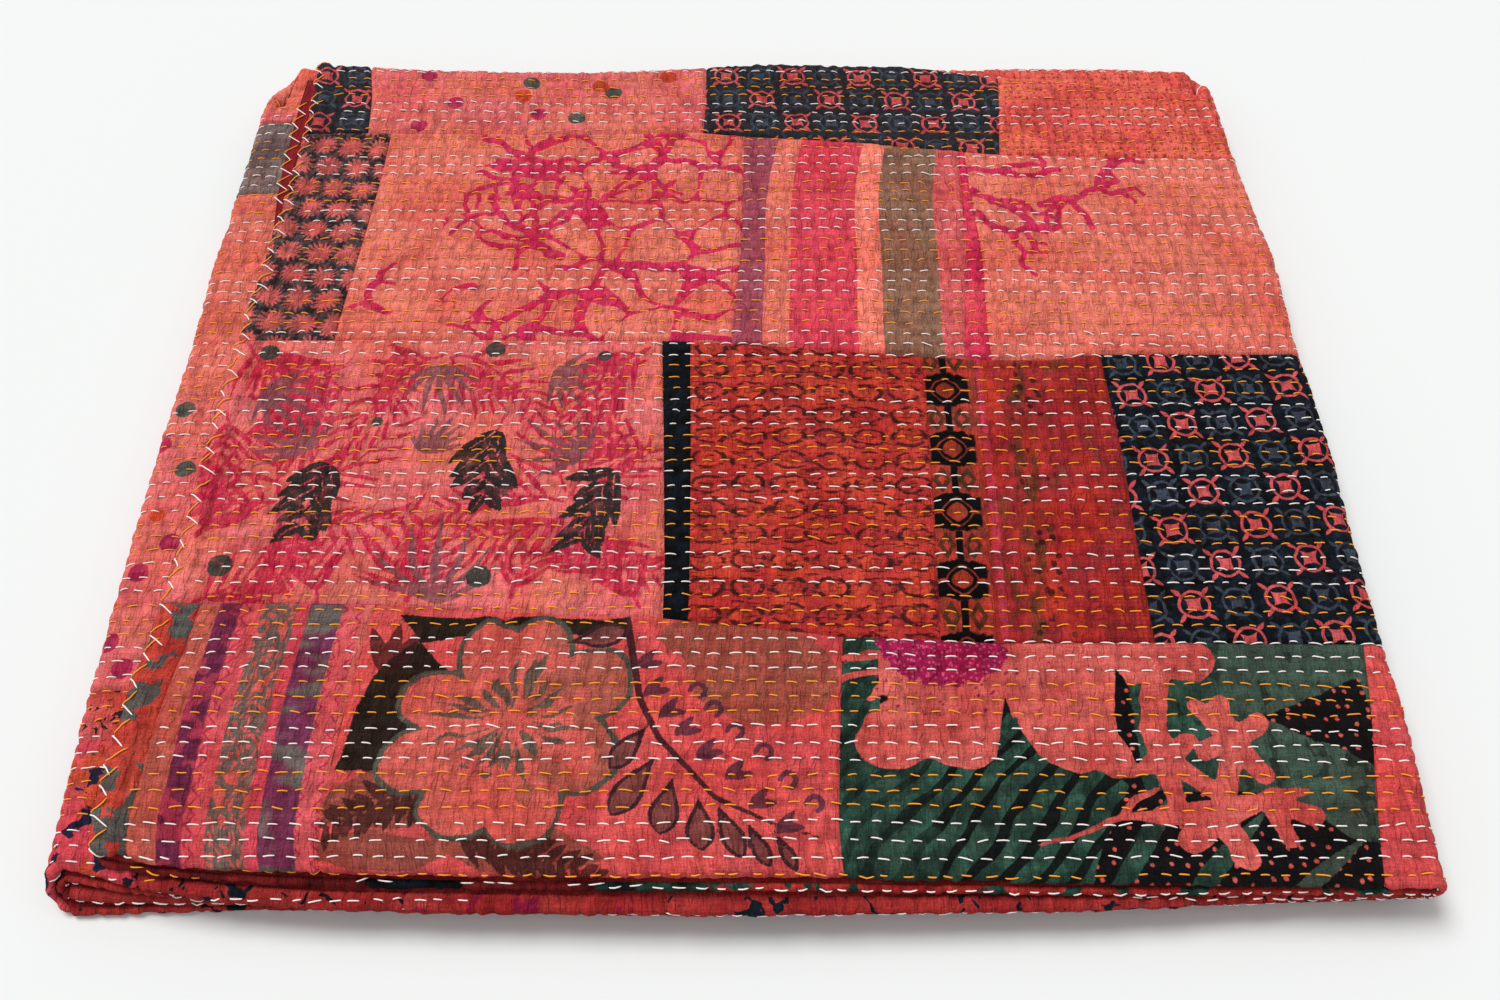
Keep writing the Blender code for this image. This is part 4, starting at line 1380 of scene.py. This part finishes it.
def threadMaterial(name):  # twisted cotton, whose strands differ a little, with painted shade in the grooves of the twist
    material = newMaterial(name + "Thread")
    around, along = split(shadeOf("UVMap", {}, uv_map="cloth"))
    ply = sine(along * (2 * math.pi / (thread["ply"] * mm)) + around * (4 * math.pi))
    deepToneAndShade = blend(0.4, thread[name], thread["deepToneAndShade"], "MULTIPLY")
    colour = blend(mark("shade") * 0.4, thread[name], deepToneAndShade)
    # painted shade: darker in the grooves between the plies
    colour = blend(ply * 0.05 + 0.05, colour, deepToneAndShade)
    finish = {"Roughness": 0.7, "Specular IOR Level": 0.25, "Sheen Weight": 0.25, "Sheen Roughness": 0.4}
    setShader(material, colour, ply, finish, 0.5, 0.06 * mm)
    return material


def threadTubes(name, paths, normals, radius, colour, random):
    # paths and normals are (threads, points, 3); every thread is one closed tube, thinner at its ends
    count, stops = paths.shape[:2]
    sides = thread["sides"]
    along = unit(np.gradient(paths, axis=1))
    across = unit(np.cross(along, normals))
    outwards = np.cross(across, along)
    taper = np.ones(stops)
    taper[0] = taper[-1] = thread["taper"]
    turns = np.arange(sides) * 2 * math.pi / sides
    ring = across[:, :, None] * np.cos(turns)[:, None] + outwards[:, :, None] * np.sin(turns)[:, None]
    points = paths[:, :, None] + ring * (radius * mm * taper)[None, :, None, None]
    points[..., 2] = np.maximum(points[..., 2], 0.15 * mm)
    base = np.arange(count)[:, None, None] * stops * sides
    level, turnIndex = np.meshgrid(np.arange(stops - 1), np.arange(sides), indexing="ij")
    nextTurn = (turnIndex + 1) % sides
    quads = np.stack([
        level * sides + turnIndex, level * sides + nextTurn,
        (level + 1) * sides + nextTurn, (level + 1) * sides + turnIndex], axis=-1).reshape(-1, 4)
    faces = (base + quads[None]).reshape(-1, 4)
    steps = np.linalg.norm(np.diff(paths, axis=1), axis=-1)
    lengths = np.concatenate([np.zeros((count, 1)), np.cumsum(steps, axis=1)], axis=1)
    uv = np.stack(np.broadcast_arrays((np.arange(sides) / sides)[None, None], lengths[:, :, None]), axis=-1)
    shade = np.repeat(random.uniform(0, 1, count), stops * sides)
    # a fan of one triangle and one quad closes each five-sided end
    ends = []
    for first, order in ((0, (3, 2, 1, 0)), ((stops - 1) * sides, (0, 1, 2, 3))):
        ends.append(base.reshape(-1, 1) + first + np.array(order))
        ends.append(base.reshape(-1, 1) + first + np.array((0, 4, 3, 3) if first == 0 else (0, 3, 4, 4)))
    faces = np.concatenate([faces] + ends)
    made = makeMesh(name, points.reshape(-1, 3), faces, uv.reshape(-1, 2), {"shade": shade})
    made.data.materials.append(threadMaterials[colour])
    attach(made, "root")
    return made


def onCloth(b, c, height, under=False):  # a place over the puckered cloth, and the way up from it
    normal = faceNormal(b, c, under)
    lift = clothHeight(b, c, under) + height
    return facePoint(b, c, under) + normal * lift[..., None] * mm, normal


def runningStitches(random):
    # every row of stitches, on each stretch of cloth that shows
    found = {"white": [], "gold": []}
    stretchesShown = (  # under layer or not, b of the start and the end, front limit, back limit
        (False, 14.0, endTop + 26.0, "front", "back"),
        (True, endMiddle - 34.0, endLeft - 4.0, "front", "back"),
        (True, 4.0, endMiddle - 36.0, "front", "turn"),
        (False, endRight - 6.0, endBottom - 4.0, "front", "turn"),
        (True, endLeft, endBottom - 4.0, "front", "turn"),
        (True, endRight, endMiddle - 36.0, "wrap", "back"),
        (False, endLeft - 18.0, endBottom - 4.0, "wrap", "back"))
    for under, start, end, frontLimit, backLimit in stretchesShown:
        for row in range(-4, 72):
            inGold = (row == 0 and start < endTop) or (row > 0 and (row - 1) // 3 % 2 == 1)
            colour = "gold" if inGold else "white"
            count = int((end - start) / strip["stitchPitch"])
            along = (np.arange(count) + 0.5 + math.floor(start / strip["stitchPitch"])) * strip["stitchPitch"]
            line = np.full(count, np.interp(row, sewnRows["number"], sewnRows["c"]))
            b = along + unevenness("drift", along, line) + random.normal(0, 0.9, count)
            c = line + unevenness("wobble", b, line) + random.normal(0, 0.42, count)
            front = frontOf(b, under)
            back = backOfFlat(b)
            low = front - 10.0 if frontLimit == "front" else back + 1.5
            high = back + 19.0 if backLimit == "back" else front + 1.0
            half = np.clip(random.normal(thread["length"], 1.4, count), 4.4, 10.6) / 2
            slant = random.normal(-0.03, 0.11, count)
            keep = (b - half > start) & (b + half < end) & (c > low) & (c < high)
            keep &= random.uniform(0, 1, count) > thread["missing"]
            found[colour].append(np.stack([b, c, half, slant, np.full(count, float(under))], axis=-1)[keep])
    return {colour: np.concatenate(rows) for colour, rows in found.items()}


def sewRunning(colour, stitches, random):
    shares = np.array([-1.0, -0.55, 0.0, 0.55, 1.0])
    arch = np.array([-1.0, 0.55, 1.0, 0.55, -1.0])
    paths, normals = [], []
    for under in (False, True):
        chosen = stitches[stitches[:, 4] == float(under)]
        b = chosen[:, :1] + shares * chosen[:, 2:3]
        c = chosen[:, 1:2] + shares * chosen[:, 2:3] * chosen[:, 3:4]
        height = np.where(arch > 0, arch * thread["rise"], -thread["dip"]) + np.zeros_like(b)
        points, normal = onCloth(b, c, height, under)
        paths.append(points)
        normals.append(normal)
    paths, normals = np.concatenate(paths), np.concatenate(normals)
    return threadTubes(colour + "Stitches", paths, normals, thread["radius"], colour, random)


threadRandom = np.random.default_rng(31)
threadMaterials = {name: threadMaterial(name) for name in ("white", "gold")}
running = runningStitches(threadRandom)
sewing = [sewRunning(colour, running[colour], threadRandom) for colour in ("white", "gold")]
print("running stitches:", {colour: len(rows) for colour, rows in running.items()})

hemSewing = {
    "pitch": 17.0, "turn": 8.5, "inner": 6.0, "outer": -2.6, "radius": 0.46, "stops": 9, "lift": 0.6,
    "front": -338.0, "back": 336.0, "secondFront": 178.0, "secondBack": 284.0,
}


def overcast(random, name, front, back):
    # one white and one golden stroke by turns, over the edge of the hem and back
    starts = np.arange(front, back, hemSewing["pitch"])
    starts = starts + random.normal(0, 1.8, len(starts))
    share = np.linspace(0, 1, hemSewing["stops"])
    made = []
    for colour, (fromB, toB), (fromC, toC) in (
            ("white", (hemSewing["inner"], hemSewing["outer"]), (0.0, hemSewing["turn"])),
            ("gold", (hemSewing["outer"], hemSewing["inner"]), (hemSewing["turn"], hemSewing["pitch"]))):
        inner = random.normal(0, 1.9, (len(starts), 1))
        b = fromB + (toB - fromB) * share + inner * np.abs(np.where(fromB > toB, 1 - share, share))
        c = starts[:, None] + fromC + (toC - fromC) * share + random.normal(0, 0.5, (len(starts), 1))
        if name == "hem":
            height = np.broadcast_to(hemSewing["lift"] + 0.25 * np.sin(math.pi * share), b.shape)
            points, normal = onCloth(b, c, height)
        else:  # the hem of the layer below the top one
            pitch = layerPitch(alongStrip(b)[0])
            n = 2 * pitch + cloth + hemSewing["lift"] - 0.8 * np.clip(-b - 1, 0, 2)
            points = place(b, c, n, "secondHem")
            normal = np.broadcast_to((0.0, 0.0, 1.0), points.shape)
        label = name + colour.capitalize()
        made.append(threadTubes(label, points, normal, hemSewing["radius"], colour, random))
    return made


sewing += overcast(threadRandom, "hem", hemSewing["front"], hemSewing["back"])
sewing += overcast(threadRandom, "secondHem", hemSewing["secondFront"], hemSewing["secondBack"])

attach(quiltBody, "root")
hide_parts("quilt")

# Floor, light and camera.

setting = {
    "floor": "e3e5e4", "floorDrop": 0.6, "world": "ffffff", "worldStrength": 0.55,
    "sunTowards": (-0.40, 0.42, 1.0), "sunStrength": 2.35, "sunSpread": 30.0,
    "lens": 30.336, "camera": (0.0066, -0.5574, 0.7366), "tilt": 33.0,
}


def setStage():
    bpy.ops.object.select_all(action="DESELECT")
    bpy.ops.mesh.primitive_plane_add(size=12.0, location=(0, 0, -setting["floorDrop"] * mm))
    floor = bpy.context.object
    floor.name = "paleFloor"
    material = newMaterial("paleFloor")
    shader = material.node_tree.nodes["Principled BSDF"]
    for name, value in (("Base Color", setting["floor"]), ("Roughness", 0.75), ("Specular IOR Level", 0.2)):
        feed(shader.inputs[name], value)
    floor.data.materials.append(material)
    world = bpy.data.worlds.new("paleRoom")
    world.use_nodes = True
    background = world.node_tree.nodes["Background"]
    feed(background.inputs[0], setting["world"])
    feed(background.inputs[1], setting["worldStrength"])
    bpy.context.scene.world = world


def placeObject(name, data, rotation, location=(0, 0, 0)):
    made = bpy.data.objects.new(name, data)
    made.location = location
    made.rotation_euler = rotation
    bpy.context.scene.collection.objects.link(made)
    return made


def addSun():  # soft daylight from the back left
    data = bpy.data.lights.new("keyLight", "SUN")
    data.energy = setting["sunStrength"]
    data.angle = math.radians(setting["sunSpread"])
    placeObject("keyLight", data, Vector(setting["sunTowards"]).to_track_quat("Z", "Y").to_euler())


def addCamera():
    data = bpy.data.cameras.new("photoCamera")
    data.lens = setting["lens"]
    data.sensor_width = 36.0
    data.clip_start = 0.01
    rotation = (math.radians(setting["tilt"]), 0, 0)
    bpy.context.scene.camera = placeObject("photoCamera", data, rotation, setting["camera"])
    bpy.context.scene.view_settings.view_transform = "Standard"
    bpy.context.scene.view_settings.look = "None"


setStage()
addSun()
addCamera()
print("stage ready")
